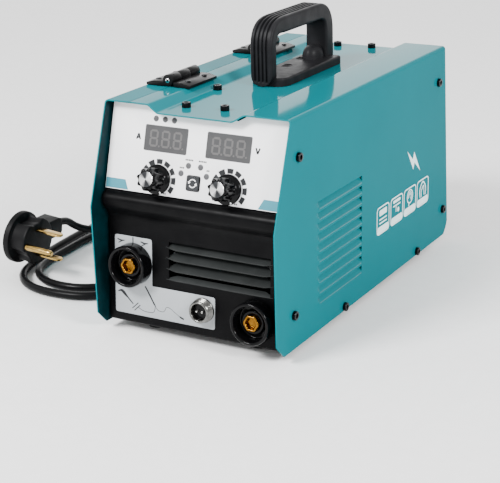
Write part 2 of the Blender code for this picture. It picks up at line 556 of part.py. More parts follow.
def rear():
    """Rear panel, fan with its guard, power switch and cable gland."""
    outline = [(PANEL_LEFT, PANEL_BOTTOM), (PANEL_RIGHT, PANEL_BOTTOM), (PANEL_RIGHT, PANEL_TOP)]
    outline += NOTCH[::-1] + [(PANEL_LEFT, PANEL_TOP)]
    panel = place("rear_panel", prism(outline, REAR_PANEL[0], REAR_PANEL[1], "Y"), TEAL)
    x, z = SWITCH_CENTRE
    opening = [(x - 9.4, z - 12.4), (x + 9.4, z - 12.4), (x + 9.4, z + 12.4), (x - 9.4, z + 12.4)]
    cut(panel, gather(prism(disc(FAN_CENTRE, FAN_BORE, 32), 147.0, 154.0, "Y"),
                      prism(opening, 147.0, 154.0, "Y"),
                      prism(disc(GLAND_CENTRE, 8.4, 16), 147.0, 154.0, "Y")))

    cx, cz = FAN_CENTRE
    half = FAN_FRAME / 2
    frame = place("fan_frame", block((cx - half, 124.0, cz - half), (cx + half, 149.4, cz + half)), BLACK)
    cut(frame, prism(disc(FAN_CENTRE, FAN_BORE, 32), 120.0, 153.0, "Y"))
    weld(frame, block((cx - half + 1, 145.5, cz - 2), (cx + half - 1, 149.0, cz + 2)))
    weld(frame, block((cx - 2, 145.5, cz - half + 1), (cx + 2, 149.0, cz + half - 1)))
    weld(frame, prism(disc(FAN_CENTRE, 17.0, 20), 145.0, 149.2, "Y"))

    hub = [(0.0, 125.0), (15.0, 125.0), (17.0, 127.0), (17.0, 144.4), (0.0, 144.4)]
    rotor = place("fan_rotor", turned(hub, 20, "Y", FAN_CENTRE), BLACK, (cx, 135.0, cz))
    for blade in range(7):
        paddle = block((15.0, -11.5, -0.9), (41.5, 11.5, 0.9))
        pitch = Matrix.Rotation(math.radians(52), 4, "X")
        spin = Matrix.Rotation(2 * math.pi * blade / 7, 4, "Y")
        seat = Matrix.Translation((cx, 135.4, cz))
        bmesh.ops.transform(paddle, matrix=seat @ spin @ pitch, verts=paddle.verts)
        weld(rotor, paddle)

    place("fan_guard", guard(FAN_CENTRE, (0, 11, 19, 22, 31, 34, 43, 47.5), 32), PAN)

    housing = [(x - 11, z - 14.5), (x + 11, z - 14.5), (x + 11, z + 14.5), (x - 11, z + 14.5)]
    body = [(x - 9, z - 12), (x + 9, z - 12), (x + 9, z + 12), (x - 9, z + 12)]
    well = [(x - 7.2, z - 10.7), (x + 7.2, z - 10.7), (x + 7.2, z + 10.7), (x - 7.2, z + 10.7)]
    switch = place("switch_housing", prism(housing, 151.6, 153.6, "Y"), BLACK)
    weld(switch, prism(body, 130.0, 152.6, "Y"))
    cut(switch, prism(well, 138.0, 156.0, "Y"))
    pivot = 150.6
    rocker = [(pivot + 9.2 * math.cos(t), z + 9.2 * math.sin(t))
              for t in [math.radians(90 + 15 * i) for i in range(13)]]
    rocker += [(pivot + 5.2, z - 8.9), (pivot + 2.2, z), (pivot + 1.4, z + 9.2)]
    place("power_rocker", prism(rocker, x - 6.7, x + 6.7, "X"), BLACK, (x, pivot, z))

    bore = CORD / 2 + 0.45
    gland = [(bore, 140.0), (8.0, 140.0), (8.0, 151.6), (11.0, 151.6), (11.0, 157.0), (9.2, 158.0),
             (8.6, 164.0), (6.2, GLAND_END), (bore, GLAND_END)]
    place("cable_gland", turned(gland, 18, "Y", GLAND_CENTRE), BLACK)


def guard(centre, radii, sides):
    """A flat grille: a hub, rings and four spokes cut from a polar grid and thickened."""
    bm = bmesh.new()
    middle = bm.verts.new((centre[0], 151.6, centre[1]))
    rings = [[middle] * sides]
    for radius in radii[1:]:
        rings.append([bm.verts.new((x, 151.6, z)) for x, z in disc(centre, radius, sides)])
    for band, (inner, outer) in enumerate(zip(rings, rings[1:])):
        for i in range(sides):
            j = (i + 1) % sides
            if band % 2 == 0 or i % (sides // 4) == sides // 8:
                bm.faces.new(list(dict.fromkeys((inner[i], inner[j], outer[j], outer[i]))))
    loose = [v for v in bm.verts if not v.link_faces]
    bmesh.ops.delete(bm, geom=loose, context="VERTS")
    grown = bmesh.ops.extrude_face_region(bm, geom=bm.faces[:])
    raised = [v for v in grown["geom"] if isinstance(v, bmesh.types.BMVert)]
    bmesh.ops.translate(bm, verts=raised, vec=(0.0, 1.8, 0.0))
    bmesh.ops.recalc_face_normals(bm, faces=bm.faces)
    return bm


def feeder():
    """Feeder plate with its wire guides, motor, drive roll, pressure arm and spool."""
    low = PARTITION[0] - 0.4
    seat = low - 8.0
    mount = place("feeder_plate", block((seat, -112.0, 25.0), (low, -56.0, 95.0)), ALUMINIUM)
    for near, far in ((-112.0, -104.0), (-66.0, -57.0)):
        weld(mount, block((WIRE_X - 4, near, 56.0), (seat + 2, far, 66.0)))
    weld(mount, prism(disc((WIRE_X, WIRE_HEIGHT), 3.0, 12), -136.0, -108.0, "Y"))
    weld(mount, prism(disc((WIRE_X, WIRE_HEIGHT), 3.0, 12), -62.0, -46.0, "Y"))
    weld(mount, prism(disc(ARM_PIVOT, 2.5, 12), -52.5, seat + 2, "X"))
    cut(mount, prism(disc((WIRE_X, WIRE_HEIGHT), 1.2, 8), -140.0, -40.0, "Y"))
    cut(mount, prism(disc(DRIVE_CENTRE, 6.5, 14), seat - 3, low + 3, "X"))

    motor = [(0.0, 50.0), (17.0, 50.0), (17.0, 0.0), (19.5, 0.0), (19.5, -20.8), (3.0, -20.8),
             (3.0, -64.5), (0.0, -64.5)]
    place("feeder_motor", turned(motor, 20, "X", DRIVE_CENTRE), STEEL)
    x = WIRE_X
    roll = [(3.35, x - 5), (DRIVE_RADIUS, x - 5), (DRIVE_RADIUS, x - 1), (14.2, x), (DRIVE_RADIUS, x + 1),
            (DRIVE_RADIUS, x + 5), (7.0, x + 5), (7.0, x + 7), (3.35, x + 7)]
    place("drive_roll", turned(roll, 24, "X", DRIVE_CENTRE), STEEL, (x, *DRIVE_CENTRE))
    bearing = [(2.85, x - 4), (PRESSURE_RADIUS, x - 4), (PRESSURE_RADIUS, x + 4), (2.85, x + 4)]
    place("pressure_roll", turned(bearing, 20, "X", PRESSURE_CENTRE), STEEL, (x, *PRESSURE_CENTRE))

    outline = [(ARM_PIVOT[0] + 5, 69.5), (ARM_PIVOT[0] + 5, 78.5), (-113.0, 78.5), (-113.0, 71.0), (-95.0, 68.5)]
    arm = place("pressure_arm", prism(outline, -50.6, -46.0, "X"), BLACK, (-48.3, *ARM_PIVOT))
    weld(arm, block((-54.0, -112.0, 72.0), (-42.5, -100.0, 78.5)))
    weld(arm, prism(disc(PRESSURE_CENTRE, 2.5, 12), -62.0, -48.0, "X"))
    cut(arm, gather(prism(disc(ARM_PIVOT, 2.85, 12), -57.0, -40.0, "X"),
                    prism(disc((-48.3, TENSION_Y), 2.3, 10), 66.0, 84.0, "Z")))
    knob = [(0.0, 98.0), (6.0, 98.0), (7.0, 96.5), (7.0, 79.0), (1.9, 79.0), (1.9, 67.5), (0.0, 67.5)]
    place("tension_knob", turned(knob, 20, "Z", (-48.3, TENSION_Y), 10, 0.04, (2, 3)), BLACK,
          (-48.3, TENSION_Y, 79.0))

    axle = [(0.0, -22.8), (14.0, -22.8), (14.0, -24.8), (10.0, -24.8), (10.0, -30.6), (7.5, -30.6),
            (7.5, -75.2), (4.0, -75.2), (4.0, -81.0), (0.0, -81.0)]
    place("spool_axle", turned(axle, 18, "X", SPOOL_CENTRE), BLACK)
    spool = [(7.95, -31.0), (SPOOL_RADIUS, -31.0), (SPOOL_RADIUS, -33.5), (24.0, -33.5), (24.0, -72.5),
             (SPOOL_RADIUS, -72.5), (SPOOL_RADIUS, -75.0), (7.95, -75.0)]
    middle = (-53.0, *SPOOL_CENTRE)
    place("wire_spool", turned(spool, 32, "X", SPOOL_CENTRE), BLACK, middle)
    wire = [(24.4, -34.0), (43.0, -34.0), (43.0, -72.0), (24.4, -72.0)]
    place("spool_wire", turned(wire, 32, "X", SPOOL_CENTRE), STEEL, middle)
    nut = [(0.0, -83.0), (11.0, -83.0), (12.0, -82.0), (12.0, -75.6), (4.4, -75.6), (4.4, -81.4), (0.0, -81.4)]
    place("spool_nut", turned(nut, 18, "X", SPOOL_CENTRE, 6, 0.06, (1, 2, 3)), BLACK, (-79.0, *SPOOL_CENTRE))


def power_stage():
    """Power board, finned heat sink and transformer in the right-hand half."""
    place("power_board", block((-12.0, -56.0, 24.0), (80.0, 118.0, 25.6)), BOARD)
    outline = [(25.0, 26.2), (75.0, 26.2)]
    for fin in range(6):
        x = 73.0 - 9.6 * fin
        outline += [(x + 2, 32.0), (x + 2, 88.0), (x, 88.0), (x, 32.0)]
    outline[2] = (75.0, 32.0)
    outline[-1] = (25.0, 32.0)
    place("heat_sink", prism(outline, -46.0, 52.0, "Y"), ALUMINIUM)
    core = place("transformer", block((-10.0, 66.0, 26.2), (40.0, 104.0, 74.0)), PAN)
    weld(core, block((-4.0, 58.0, 34.0), (34.0, 112.0, 66.0)))


def smooth_line(points, step):
    """Evenly spaced points along the Catmull-Rom curve through the route, and its length."""
    route = [Vector(point) for point in points]
    route = [route[0] * 2 - route[1]] + route + [route[-1] * 2 - route[-2]]
    dense = []
    for before, first, second, after in zip(route, route[1:], route[2:], route[3:]):
        for step_number in range(CURVE_STEPS):
            t = step_number / CURVE_STEPS
            bend = before * 2 - first * 5 + second * 4 - after
            twist = (first - second) * 3 + after - before
            dense.append(first + ((second - before) * t + bend * t ** 2 + twist * t ** 3) / 2)
    dense.append(route[-2])
    travelled = [0.0]
    for one, two in zip(dense, dense[1:]):
        travelled.append(travelled[-1] + (two - one).length)
    count = round(travelled[-1] / step)
    evened = []
    at = 0
    for number in range(count + 1):
        target = travelled[-1] * number / count
        while at < len(travelled) - 2 and travelled[at + 1] < target:
            at += 1
        share = (target - travelled[at]) / (travelled[at + 1] - travelled[at])
        evened.append(dense[at].lerp(dense[at + 1], share))
    return evened, travelled[-1]


def mains_cord():
    """Cord on the floor behind and beside the case, and its plug lying on the loops."""
    points, length = smooth_line(CORD_ROUTE, CORD_STEP)
    data = bpy.data.curves.new("power_cord", "CURVE")
    data.dimensions = "3D"
    data.bevel_depth = CORD / 2 * MM
    data.bevel_resolution = 2
    data.use_fill_caps = True
    data.materials.append(CORD_BLACK)
    line = data.splines.new("POLY")
    line.points.add(len(points) - 1)
    for slot, point in zip(line.points, points):
        slot.co = (*(point * MM), 1.0)
    made = bpy.data.objects.new("power_cord", data)
    bpy.context.scene.collection.objects.link(made)
    print("cord length in millimetres:", round(length, 1), "points:", len(points))

    seat = bpy.data.objects.new("plug_seat", None)
    bpy.context.scene.collection.objects.link(seat)
    seat.location = Vector(PLUG_FACE) * MM
    seat.rotation_euler = (0.0, PLUG_DROOP, 0.0)
    body = [(0.0, 0.0), (PLUG_BODY - 1, 0.0), (PLUG_BODY, -1.0), (PLUG_BODY, FLANGE_DEPTH - PLUG_DEPTH),
            (PLUG_FLANGE, FLANGE_DEPTH - PLUG_DEPTH), (PLUG_FLANGE, 1 - PLUG_DEPTH),
            (PLUG_FLANGE - 1, -PLUG_DEPTH), (0.0, -PLUG_DEPTH)]
    plug = place("power_plug", turned(body, 32, "X"), RUBBER, parent=seat)
    weld(plug, prism(disc((RELIEF_SETBACK, 0.0), RELIEF_RADIUS, 14), 10.0, RELIEF_END, "Y"))
    blade = [(GAP, -BLADE_HALF_WIDTH), (BLADE_LENGTH - 2, -BLADE_HALF_WIDTH), (BLADE_LENGTH, -2.2),
             (BLADE_LENGTH, 2.2), (BLADE_LENGTH - 2, BLADE_HALF_WIDTH), (GAP, BLADE_HALF_WIDTH)]
    for name, height in (("plug_blade_upper", BLADE_RISE), ("plug_blade_lower", -BLADE_RISE)):
        place(name, prism(blade, height - BLADE_HALF_THICKNESS, height + BLADE_HALF_THICKNESS, "Z"),
              BRASS, parent=seat)
    pin = [(0.0, GAP), (GROUND_RADIUS, GAP), (GROUND_RADIUS, BLADE_LENGTH),
           (GROUND_RADIUS - 1, BLADE_LENGTH + 2), (0.0, BLADE_LENGTH + 2)]
    place("plug_ground_pin", turned(pin, 14, "X", (GROUND_OFFSET, 0.0)), BRASS, parent=seat)


def main():
    upper = frame_at("control_face", UPPER_START, UPPER_SLOPE)
    lower = frame_at("connection_face", LOWER_START, LOWER_SLOPE)
    case()
    hinges()
    front(upper, lower)
    controls(upper)
    sockets(lower)
    handle()
    rear()
    feeder()
    power_stage()
    mains_cord()


wipe()
main()
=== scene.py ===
"""Portable MIG welding machine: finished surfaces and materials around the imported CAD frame.

Lengths in this file are millimetres, and make_piece turns them into Blender's metres.
The front faces -Y, the right-hand side is +X, and the feet stand on z = 0.
"""
import functools
import math

import bmesh
import bpy
import numpy as np
from mathutils import Matrix, Vector


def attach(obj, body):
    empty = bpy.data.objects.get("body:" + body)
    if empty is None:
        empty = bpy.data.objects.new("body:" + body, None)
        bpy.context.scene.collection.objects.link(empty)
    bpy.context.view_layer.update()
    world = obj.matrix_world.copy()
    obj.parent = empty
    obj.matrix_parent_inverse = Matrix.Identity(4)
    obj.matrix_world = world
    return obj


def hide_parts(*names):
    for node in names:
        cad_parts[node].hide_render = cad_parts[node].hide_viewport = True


bl_info = {
    "name": "MIG welding machine",
    "version": (1, 0, 0),
    "blender": (4, 5, 0),
    "location": "View3D > Sidebar > Welder",
    "description": "Builds a portable MIG welding machine's finished surfaces around its CAD frame",
    "category": "Add Mesh",
}

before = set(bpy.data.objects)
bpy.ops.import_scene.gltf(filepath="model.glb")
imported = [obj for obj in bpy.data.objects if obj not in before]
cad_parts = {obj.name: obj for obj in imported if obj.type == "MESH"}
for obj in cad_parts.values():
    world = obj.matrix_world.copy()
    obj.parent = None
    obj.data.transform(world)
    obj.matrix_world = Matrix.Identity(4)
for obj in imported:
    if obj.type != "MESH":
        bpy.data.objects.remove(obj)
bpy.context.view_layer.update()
MM = 0.001

# The case's front and rear edges as (z, y) from the top down, and its cross-section's main places.
TOP = 196.0
OUTLINE_FRONT = ((196.0, -150.9), (111.5, -180.2), (18.1, -178.8), (6.0, -167.1))
OUTLINE_REAR = ((196.0, 163.4), (15.1, 180.2), (6.0, 171.0))
HALF_WIDTH = 86.0
TROUGH_FLOOR = 190.1
SEAM = -62.0
BEND = 3.0
HINGE_HEIGHT = 201.6
HINGE_STARTS = (-92.5, 54.5)
PANEL_SPAN = (-83.0, 84.2)

# Half widths of the trough's cut-out in the front, at its floor and at its top, and the handle's middle as x.
CUTOUT_FLOOR = 35.5
CUTOUT_TOP = 45.5
HANDLE_MIDDLE = -2.0

# Places on the sloped control face and on the connection face, as (across, up) from their start.
UPPER_START = (0.0, -161.5, 123.3)
UPPER_SLOPE = 0.28
UPPER_TOP = 73.7
LOWER_START = (0.0, -165.1, 6.0)
LOWER_SLOPE = 0.062
DISPLAYS = {"amp_display": (-29.3, 46.0), "volt_display": (29.25, 46.0)}
KNOBS = {"current_knob": (-33.0, 13.0), "voltage_knob": (33.0, 13.0)}
BUTTON = (0.5, 13.9)
STATUS_LIGHTS = ((-40.6, 61.9), (-31.9, 61.9), (-23.2, 61.9))
MODE_LIGHTS = ((-11.9, 20.7), (-5.65, 27.4), (5.65, 27.4), (11.9, 20.7))
SOCKETS = {"torch_socket": (-57.0, 55.3), "ground_socket": (59.9, 25.8)}
CONTROL_SOCKET = (10.2, 26.1)
FRONT_OPENING = (-23.5, 71.5)

# Rows of dashes on the control face: the row's middle as (across, up), and its number of dashes.
CAPTIONS = ((-11.6, 25.3, 3), (-5.4, 32.1, 5), (7.0, 32.1, 5), (12.8, 25.4, 2), (-25.5, 2.4, 2),
            (41.0, 2.4, 2))
DASH_PITCH = 1.5
DASH_SIZE = (1.2, 1.4)

# Thickness of printed ink, and the height of the displays' windows over the control face.
INK = 0.06
WINDOW_FACE = 0.24

# Screws and sign on the right-hand side as (y, z), screws in the roof's trough as (x, y).
SIDE_SCREWS = ((-140.3, 164.5), (-149.7, 35.5), (-56.2, 9.9), (102.2, 9.9), (147.9, 164.1), (165.8, 33.8))
SPARK_PLACE = (92.0, 101.5)
SPARK_TURN = math.radians(66.0)
SPARK_SCALE = 1.4
ROOF_SCREWS = ((-22.5, -127.2), (11.6, -123.6), (-31.3, -62.1), (13.6, 155.2), (-20.7, 151.1))

# Fan in the rear panel as (x, z), and the wire spool's axis as (y, z).
FAN_CENTRE = (32.0, 100.0)
GUARD_RINGS = (11.0, 20.5, 32.5, 45.0)
SPOOL_CENTRE = (60.0, 118.0)

# Mains cord's route, from the gland to the plug, and the plug's seat.
FLOOR_LINE = 3.95
CORD_ROUTE = (
    (-45.0, 172.8, 40.0), (-45.0, 190.0, 39.0), (-46.0, 212.0, 30.0), (-51.0, 233.0, 14.0),
    (-62.0, 254.0, FLOOR_LINE), (-86.0, 276.0, FLOOR_LINE), (-122.0, 284.0, FLOOR_LINE),
    (-160.0, 268.0, FLOOR_LINE), (-194.0, 232.0, FLOOR_LINE), (-220.0, 184.0, FLOOR_LINE),
    (-238.0, 130.0, FLOOR_LINE), (-246.0, 76.0, FLOOR_LINE), (-246.5, 24.0, FLOOR_LINE),
    (-243.0, -28.0, FLOOR_LINE), (-236.0, -72.0, FLOOR_LINE), (-225.0, -102.0, FLOOR_LINE),
    (-203.0, -122.5, FLOOR_LINE), (-172.0, -129.0, FLOOR_LINE), (-138.0, -122.0, FLOOR_LINE),
    (-116.0, -96.0, FLOOR_LINE), (-110.0, -54.0, FLOOR_LINE), (-112.0, -8.0, FLOOR_LINE),
    (-123.0, 34.0, FLOOR_LINE), (-150.0, 66.0, FLOOR_LINE), (-186.0, 74.0, FLOOR_LINE),
    (-216.0, 56.0, FLOOR_LINE), (-230.0, 18.0, FLOOR_LINE), (-229.0, -28.0, FLOOR_LINE),
    (-225.0, -66.0, FLOOR_LINE), (-213.5, -93.0, FLOOR_LINE), (-188.0, -109.0, FLOOR_LINE),
    (-156.0, -108.0, FLOOR_LINE), (-132.0, -88.0, FLOOR_LINE), (-124.0, -54.0, FLOOR_LINE),
    (-126.0, -16.0, FLOOR_LINE), (-139.0, 16.0, FLOOR_LINE), (-158.0, 34.0, 4.4),
    (-180.0, 38.0, 5.8), (-202.0, 31.0, 9.8), (-217.0, 17.0, 13.2), (-226.5, 3.0, 16.6),
    (-231.3, -9.0, 23.0), (-233.2, -19.0, 30.4), (-233.5, -30.9, 33.3))
PLUG_FACE = (-218.5, -84.5, 32.0)
PLUG_DROOP = math.radians(5.0)

# Camera: azimuth, elevation and roll in degrees, its place in metres, and its lens.
CAMERA_ANGLES = (29.57, 19.07, -1.21)
CAMERA_PLACE = (0.5712457, -1.0736840, 0.4594381)
CAMERA_LENS = 101.25


# Local frames. Each turns points given as (across, up, out) into world millimetres.

def on_plane(origin, across, up, out, points):
    """Origin plus across, up and out times the point's three numbers."""
    points = np.asarray(points, float)
    axes = np.array([across, up, out], float)
    return np.asarray(origin, float) + points @ axes


def face_axes(slope):
    """Across, up and out of a face that leans back by slope millimetres for each one it rises."""
    scale = math.hypot(1.0, slope)
    return (1.0, 0.0, 0.0), (0.0, slope / scale, 1.0 / scale), (0.0, -1.0 / scale, slope / scale)


UPPER = functools.partial(on_plane, UPPER_START, *face_axes(UPPER_SLOPE))
LOWER = functools.partial(on_plane, LOWER_START, *face_axes(LOWER_SLOPE))
RIGHT_SIDE = functools.partial(on_plane, (HALF_WIDTH, 0.0, 0.0), (0, 1, 0), (0, 0, 1), (1, 0, 0))
LEFT_SIDE = functools.partial(on_plane, (-HALF_WIDTH, 0.0, 0.0), (0, -1, 0), (0, 0, 1), (-1, 0, 0))
LEVEL = functools.partial(on_plane, (0.0, 0.0, 0.0), (1, 0, 0), (0, 1, 0), (0, 0, 1))
ALONG_X = functools.partial(on_plane, (0.0, 0.0, 0.0), (0, 1, 0), (0, 0, 1), (1, 0, 0))
PLUG = functools.partial(
    on_plane, PLUG_FACE, (0, 1, 0), (math.sin(PLUG_DROOP), 0, math.cos(PLUG_DROOP)),
    (math.cos(PLUG_DROOP), 0, -math.sin(PLUG_DROOP)))


# Shapes. A shape is an array of points in millimetres and a list of faces.

def smooth_rise(value):
    """0 below 0, 1 above 1, and 3t^2 - 2t^3 between."""
    t = np.clip(value, 0.0, 1.0)
    return t * t * (3 - 2 * t)


def surface(grid, wrap=True, caps=False, keep=None):
    """Quads between neighbouring rows and columns of a grid, and a face across each end row."""
    rows, columns = grid.shape[:2]
    index = np.arange(rows * columns).reshape(rows, columns)
    if wrap:
        index = np.hstack([index, index[:, :1]])
    quads = np.stack([index[:-1, :-1], index[:-1, 1:], index[1:, 1:], index[1:, :-1]], axis=-1)
    if keep is not None:
        quads = quads[keep]
    faces = quads.reshape(-1, 4).tolist()
    if caps:
        faces += [index[0, :columns][::-1].tolist(), index[-1, :columns].tolist()]
    return grid.reshape(-1, 3), faces


def eased(points, radius, steps=5, closed=False):
    """Rounds corners: corner C becomes (1-t)^2 A + 2t(1-t) C + t^2 B, with A and B radius away."""
    points = np.asarray(points, float)
    middle = points if closed else points[1:-1]
    before = np.roll(points, 1, axis=0) if closed else points[:-2]
    after = np.roll(points, -1, axis=0) if closed else points[2:]
    to_before = np.linalg.norm(before - middle, axis=1)[:, None]
    to_after = np.linalg.norm(after - middle, axis=1)[:, None]
    reach = np.broadcast_to(np.reshape(radius, (-1, 1)), (len(middle), 1))
    start = middle + (before - middle) * np.minimum(reach / to_before, 0.49)
    end = middle + (after - middle) * np.minimum(reach / to_after, 0.49)
    t = np.linspace(0.0, 1.0, steps)[None, :, None]
    curve = (1 - t) ** 2 * start[:, None] + 2 * t * (1 - t) * middle[:, None] + t ** 2 * end[:, None]
    curve = curve.reshape(-1, points.shape[1])
    return curve if closed else np.vstack([points[:1], curve, points[-1:]])


def spaced(points, step):
    """Points at even spacing along a line through the given points."""
    points = np.asarray(points, float)
    lengths = np.concatenate([[0.0], np.cumsum(np.linalg.norm(np.diff(points, axis=0), axis=1))])
    count = max(2, int(round(lengths[-1] / step)) + 1)
    places = np.linspace(0.0, lengths[-1], count)
    return np.stack([np.interp(places, lengths, axis) for axis in points.T], axis=1), places


def ring(centre, radius, sides=48, first=0.0, last=360.0):
    """Points round a circle, or an arc of one where first and last are given in degrees."""
    whole = abs(last - first) >= 360.0
    angle = np.radians(np.linspace(first, last, sides, endpoint=not whole))
    return np.asarray(centre) + np.stack([np.cos(angle), np.sin(angle)], axis=1) * radius


def box_outline(centre, size, radius, steps=5):
    """A rectangle with rounded corners."""
    half = np.asarray(size) / 2
    corners = np.array([(-1, -1), (1, -1), (1, 1), (-1, 1)]) * half + np.asarray(centre)
    return eased(corners, radius, steps, closed=True)


def inset(outline, distance):
    """The outline moved inwards: each point shifts along the mean of its two edges' normals."""
    ahead = np.roll(outline, -1, axis=0) - outline
    normal = np.stack([ahead[:, 1], -ahead[:, 0]], axis=1)
    normal /= np.maximum(np.linalg.norm(normal, axis=1)[:, None], 1e-9)
    mean = normal + np.roll(normal, 1, axis=0)
    mean /= np.maximum(np.linalg.norm(mean, axis=1)[:, None], 1e-9)
    turn = np.sum(outline[:, 0] * np.roll(outline[:, 1], -1) - np.roll(outline[:, 0], -1) * outline[:, 1])
    return outline - mean * distance * np.sign(turn)


def at_height(outline, height):
    """A flat outline as points at one height."""
    return np.column_stack([outline, np.full(len(outline), float(height))])


def plate(outline, low, high, place, edge=0.3, steps=4):
    """An outline carried from low to high; its top edge is a quarter circle of radius edge."""
    outline = np.asarray(outline, float)
    rows = [at_height(outline, low), at_height(outline, high - edge)]
    for angle in np.linspace(0.0, math.pi / 2, steps)[1:]:
        rows.append(at_height(inset(outline, edge * (1 - math.cos(angle))),
                              high - edge + edge * math.sin(angle)))
    return surface(place(np.array(rows)), caps=True)


def band(outer, inner, low, high, place):
    """A flat ring between two outlines that have the same number of points."""
    rows = [at_height(outer, low), at_height(outer, high), at_height(inner, high),
            at_height(inner, low), at_height(outer, low)]
    return surface(place(np.array(rows)))


def stroke(points, width, low, high, place):
    """A flat line: each side runs half a width from the middle line along its normal."""
    points = np.asarray(points, float)
    ahead = np.gradient(points, axis=0)
    normal = np.stack([-ahead[:, 1], ahead[:, 0]], axis=1)
    normal /= np.linalg.norm(normal, axis=1)[:, None]
    half = np.broadcast_to(np.reshape(width, (-1, 1)), (len(points), 1)) / 2
    outline = np.vstack([points + normal * half, (points - normal * half)[::-1]])
    return plate(outline, low, high, place, edge=0.0001, steps=2)


def turned(profile, place, centre=(0.0, 0.0), sides=64, lobes=0, depth=0.0, lobed=None, phase=0.0):
    """A profile of (radius, height) turned round an axis.

    With lobes, the radius at angle a is multiplied by 1 + depth cos(lobes a), weighted by lobed.
    """
    profile = np.asarray(profile, float)
    angle = np.linspace(0.0, 2 * math.pi, sides, endpoint=False)
    weight = np.zeros(len(profile)) if lobed is None else np.asarray(lobed(profile), float)
    wave = 1 + depth * weight[:, None] * np.cos(lobes * (angle + phase))[None, :]
    radius = profile[:, :1] * wave
    height = np.broadcast_to(profile[:, 1:], radius.shape)
    grid = np.stack([centre[0] + radius * np.cos(angle), centre[1] + radius * np.sin(angle), height],
                    axis=-1)
    return surface(place(grid))


def carried(section, path, side, out, scale=None, caps=True):
    """A closed section carried along a path: point = path + x times side + y times out."""
    section = np.asarray(section, float)
    if section.ndim == 2:
        section = np.broadcast_to(section, (len(path),) + section.shape)
    if scale is not None:
        section = section * np.reshape(scale, (-1, 1, 1))
    side = np.broadcast_to(side, (len(path), 3))
    out = np.broadcast_to(out, (len(path), 3))
    grid = (path[:, None] + section[..., :1] * side[:, None] + section[..., 1:] * out[:, None])
    return surface(grid, caps=caps)


def tube(points, radius, closed=False):
    """An eight-sided wire: its section's two directions are the path's normals, from cross products."""
    points = np.asarray(points, float)
    if closed:
        ahead = np.roll(points, -1, axis=0) - np.roll(points, 1, axis=0)
    else:
        ahead = np.gradient(points, axis=0)
    ahead /= np.linalg.norm(ahead, axis=1)[:, None]
    spread = points.max(axis=0) - points.min(axis=0)
    flat = np.zeros(3)
    flat[int(np.argmin(spread))] = 1.0
    side = np.cross(ahead, flat)
    side /= np.linalg.norm(side, axis=1)[:, None]
    out = np.cross(side, ahead)
    if closed:
        points = np.vstack([points, points[:1]])
        side = np.vstack([side, side[:1]])
        out = np.vstack([out, out[:1]])
    return carried(ring((0, 0), radius, 8), points, side, out, caps=not closed)


def make_piece(name, shapes, look, body="case", stands_for=(), smooth=32.0, inside=None,
               wall=0.0, inner_shade_look=None):
    """Joins shapes into one object at the origin, closes seams, and turns its faces outwards.

    An open sheet is turned away from the point inside, wall gives it its thickness, and inner_shade_look
    is the darker look of its inner face, which paints the shade there.
    """
    starts = np.cumsum([0] + [len(points) for points, _ in shapes])
    points = np.concatenate([points for points, _ in shapes]) * MM
    faces = [[corner + start for corner in face]
             for start, (_, shape_faces) in zip(starts.tolist(), shapes) for face in shape_faces]
    mesh = bpy.data.meshes.new(name)
    mesh.from_pydata(points.tolist(), [], faces)
    bm = bmesh.new()
    bm.from_mesh(mesh)
    bmesh.ops.remove_doubles(bm, verts=bm.verts, dist=2e-6)
    bmesh.ops.dissolve_degenerate(bm, edges=bm.edges, dist=1e-7)
    bmesh.ops.recalc_face_normals(bm, faces=bm.faces)
    for edge in bm.edges:
        edge.smooth = edge.is_manifold and edge.calc_face_angle(0.0) < math.radians(smooth)
    if inside is not None:
        middle = Vector(inside) * MM
        outward = sum(face.normal.dot(face.calc_center_median() - middle) * face.calc_area()
                      for face in bm.faces)
        if outward < 0:
            bmesh.ops.reverse_faces(bm, faces=bm.faces)
    bm.to_mesh(mesh)
    bm.free()
    mesh.polygons.foreach_set("use_smooth", np.ones(len(mesh.polygons), dtype=bool))
    made = bpy.data.objects.new(name, mesh)
    bpy.context.scene.collection.objects.link(made)
    mesh.materials.append(look)
    if wall:
        thick = made.modifiers.new("wall", "SOLIDIFY")
        thick.thickness = wall * MM
        thick.offset = -1.0
        thick.use_even_offset = False
        # A darker look on the sheet's inner face paints the shade there.
        if inner_shade_look is not None:
            mesh.materials.append(inner_shade_look)
            thick.material_offset = 1
    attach(made, body)
    if stands_for:
        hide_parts(*stands_for)
    return made


# Materials. A Mix node's colour sockets share their names with its other kinds, so they go by number.

MIX_FIRST, MIX_SECOND, MIX_RESULT = 6, 7, 2


def linear(code):
    """An sRGB hex colour as linear red, green, blue and alpha."""
    parts = [int(code[start:start + 2], 16) / 255 for start in (0, 2, 4)]
    return (*[part / 12.92 if part <= 0.04045 else ((part + 0.055) / 1.055) ** 2.4 for part in parts], 1.0)


def add_node(tree, kind, inputs=None, **settings):
    """Adds a node, gives it its settings, and sets or links each named input."""
    made = tree.nodes.new(kind)
    for key, value in settings.items():
        setattr(made, key, value)
    for key, value in (inputs or {}).items():
        if isinstance(value, bpy.types.NodeSocket):
            tree.links.new(value, made.inputs[key])
        else:
            made.inputs[key].default_value = value
    return made


def new_finish(name, **sockets):
    """A material with a Principled shader whose sockets are set, and its object coordinates."""
    look = bpy.data.materials.new(name)
    look.use_nodes = True
    tree = look.node_tree
    tree.nodes.clear()
    shader = add_node(tree, "ShaderNodeBsdfPrincipled", sockets)
    add_node(tree, "ShaderNodeOutputMaterial", {"Surface": shader.outputs["BSDF"]})
    place = add_node(tree, "ShaderNodeTexCoord").outputs["Object"]
    return look, tree, shader, place


def noise(tree, place, grain, detail=2.0):
    """Noise whose blobs are about grain millimetres across."""
    return add_node(tree, "ShaderNodeTexNoise", {"Vector": place, "Scale": 1.0 / (grain * MM),
                                                 "Detail": detail}).outputs["Fac"]


def vary(tree, shader, socket, source, low, high):
    """Runs a socket between two values as the source goes from 0.3 to 0.7."""
    spread = add_node(tree, "ShaderNodeMapRange", {"Value": source, "From Min": 0.3, "From Max": 0.7,
                                                   "To Min": low, "To Max": high})
    tree.links.new(spread.outputs["Result"], shader.inputs[socket])


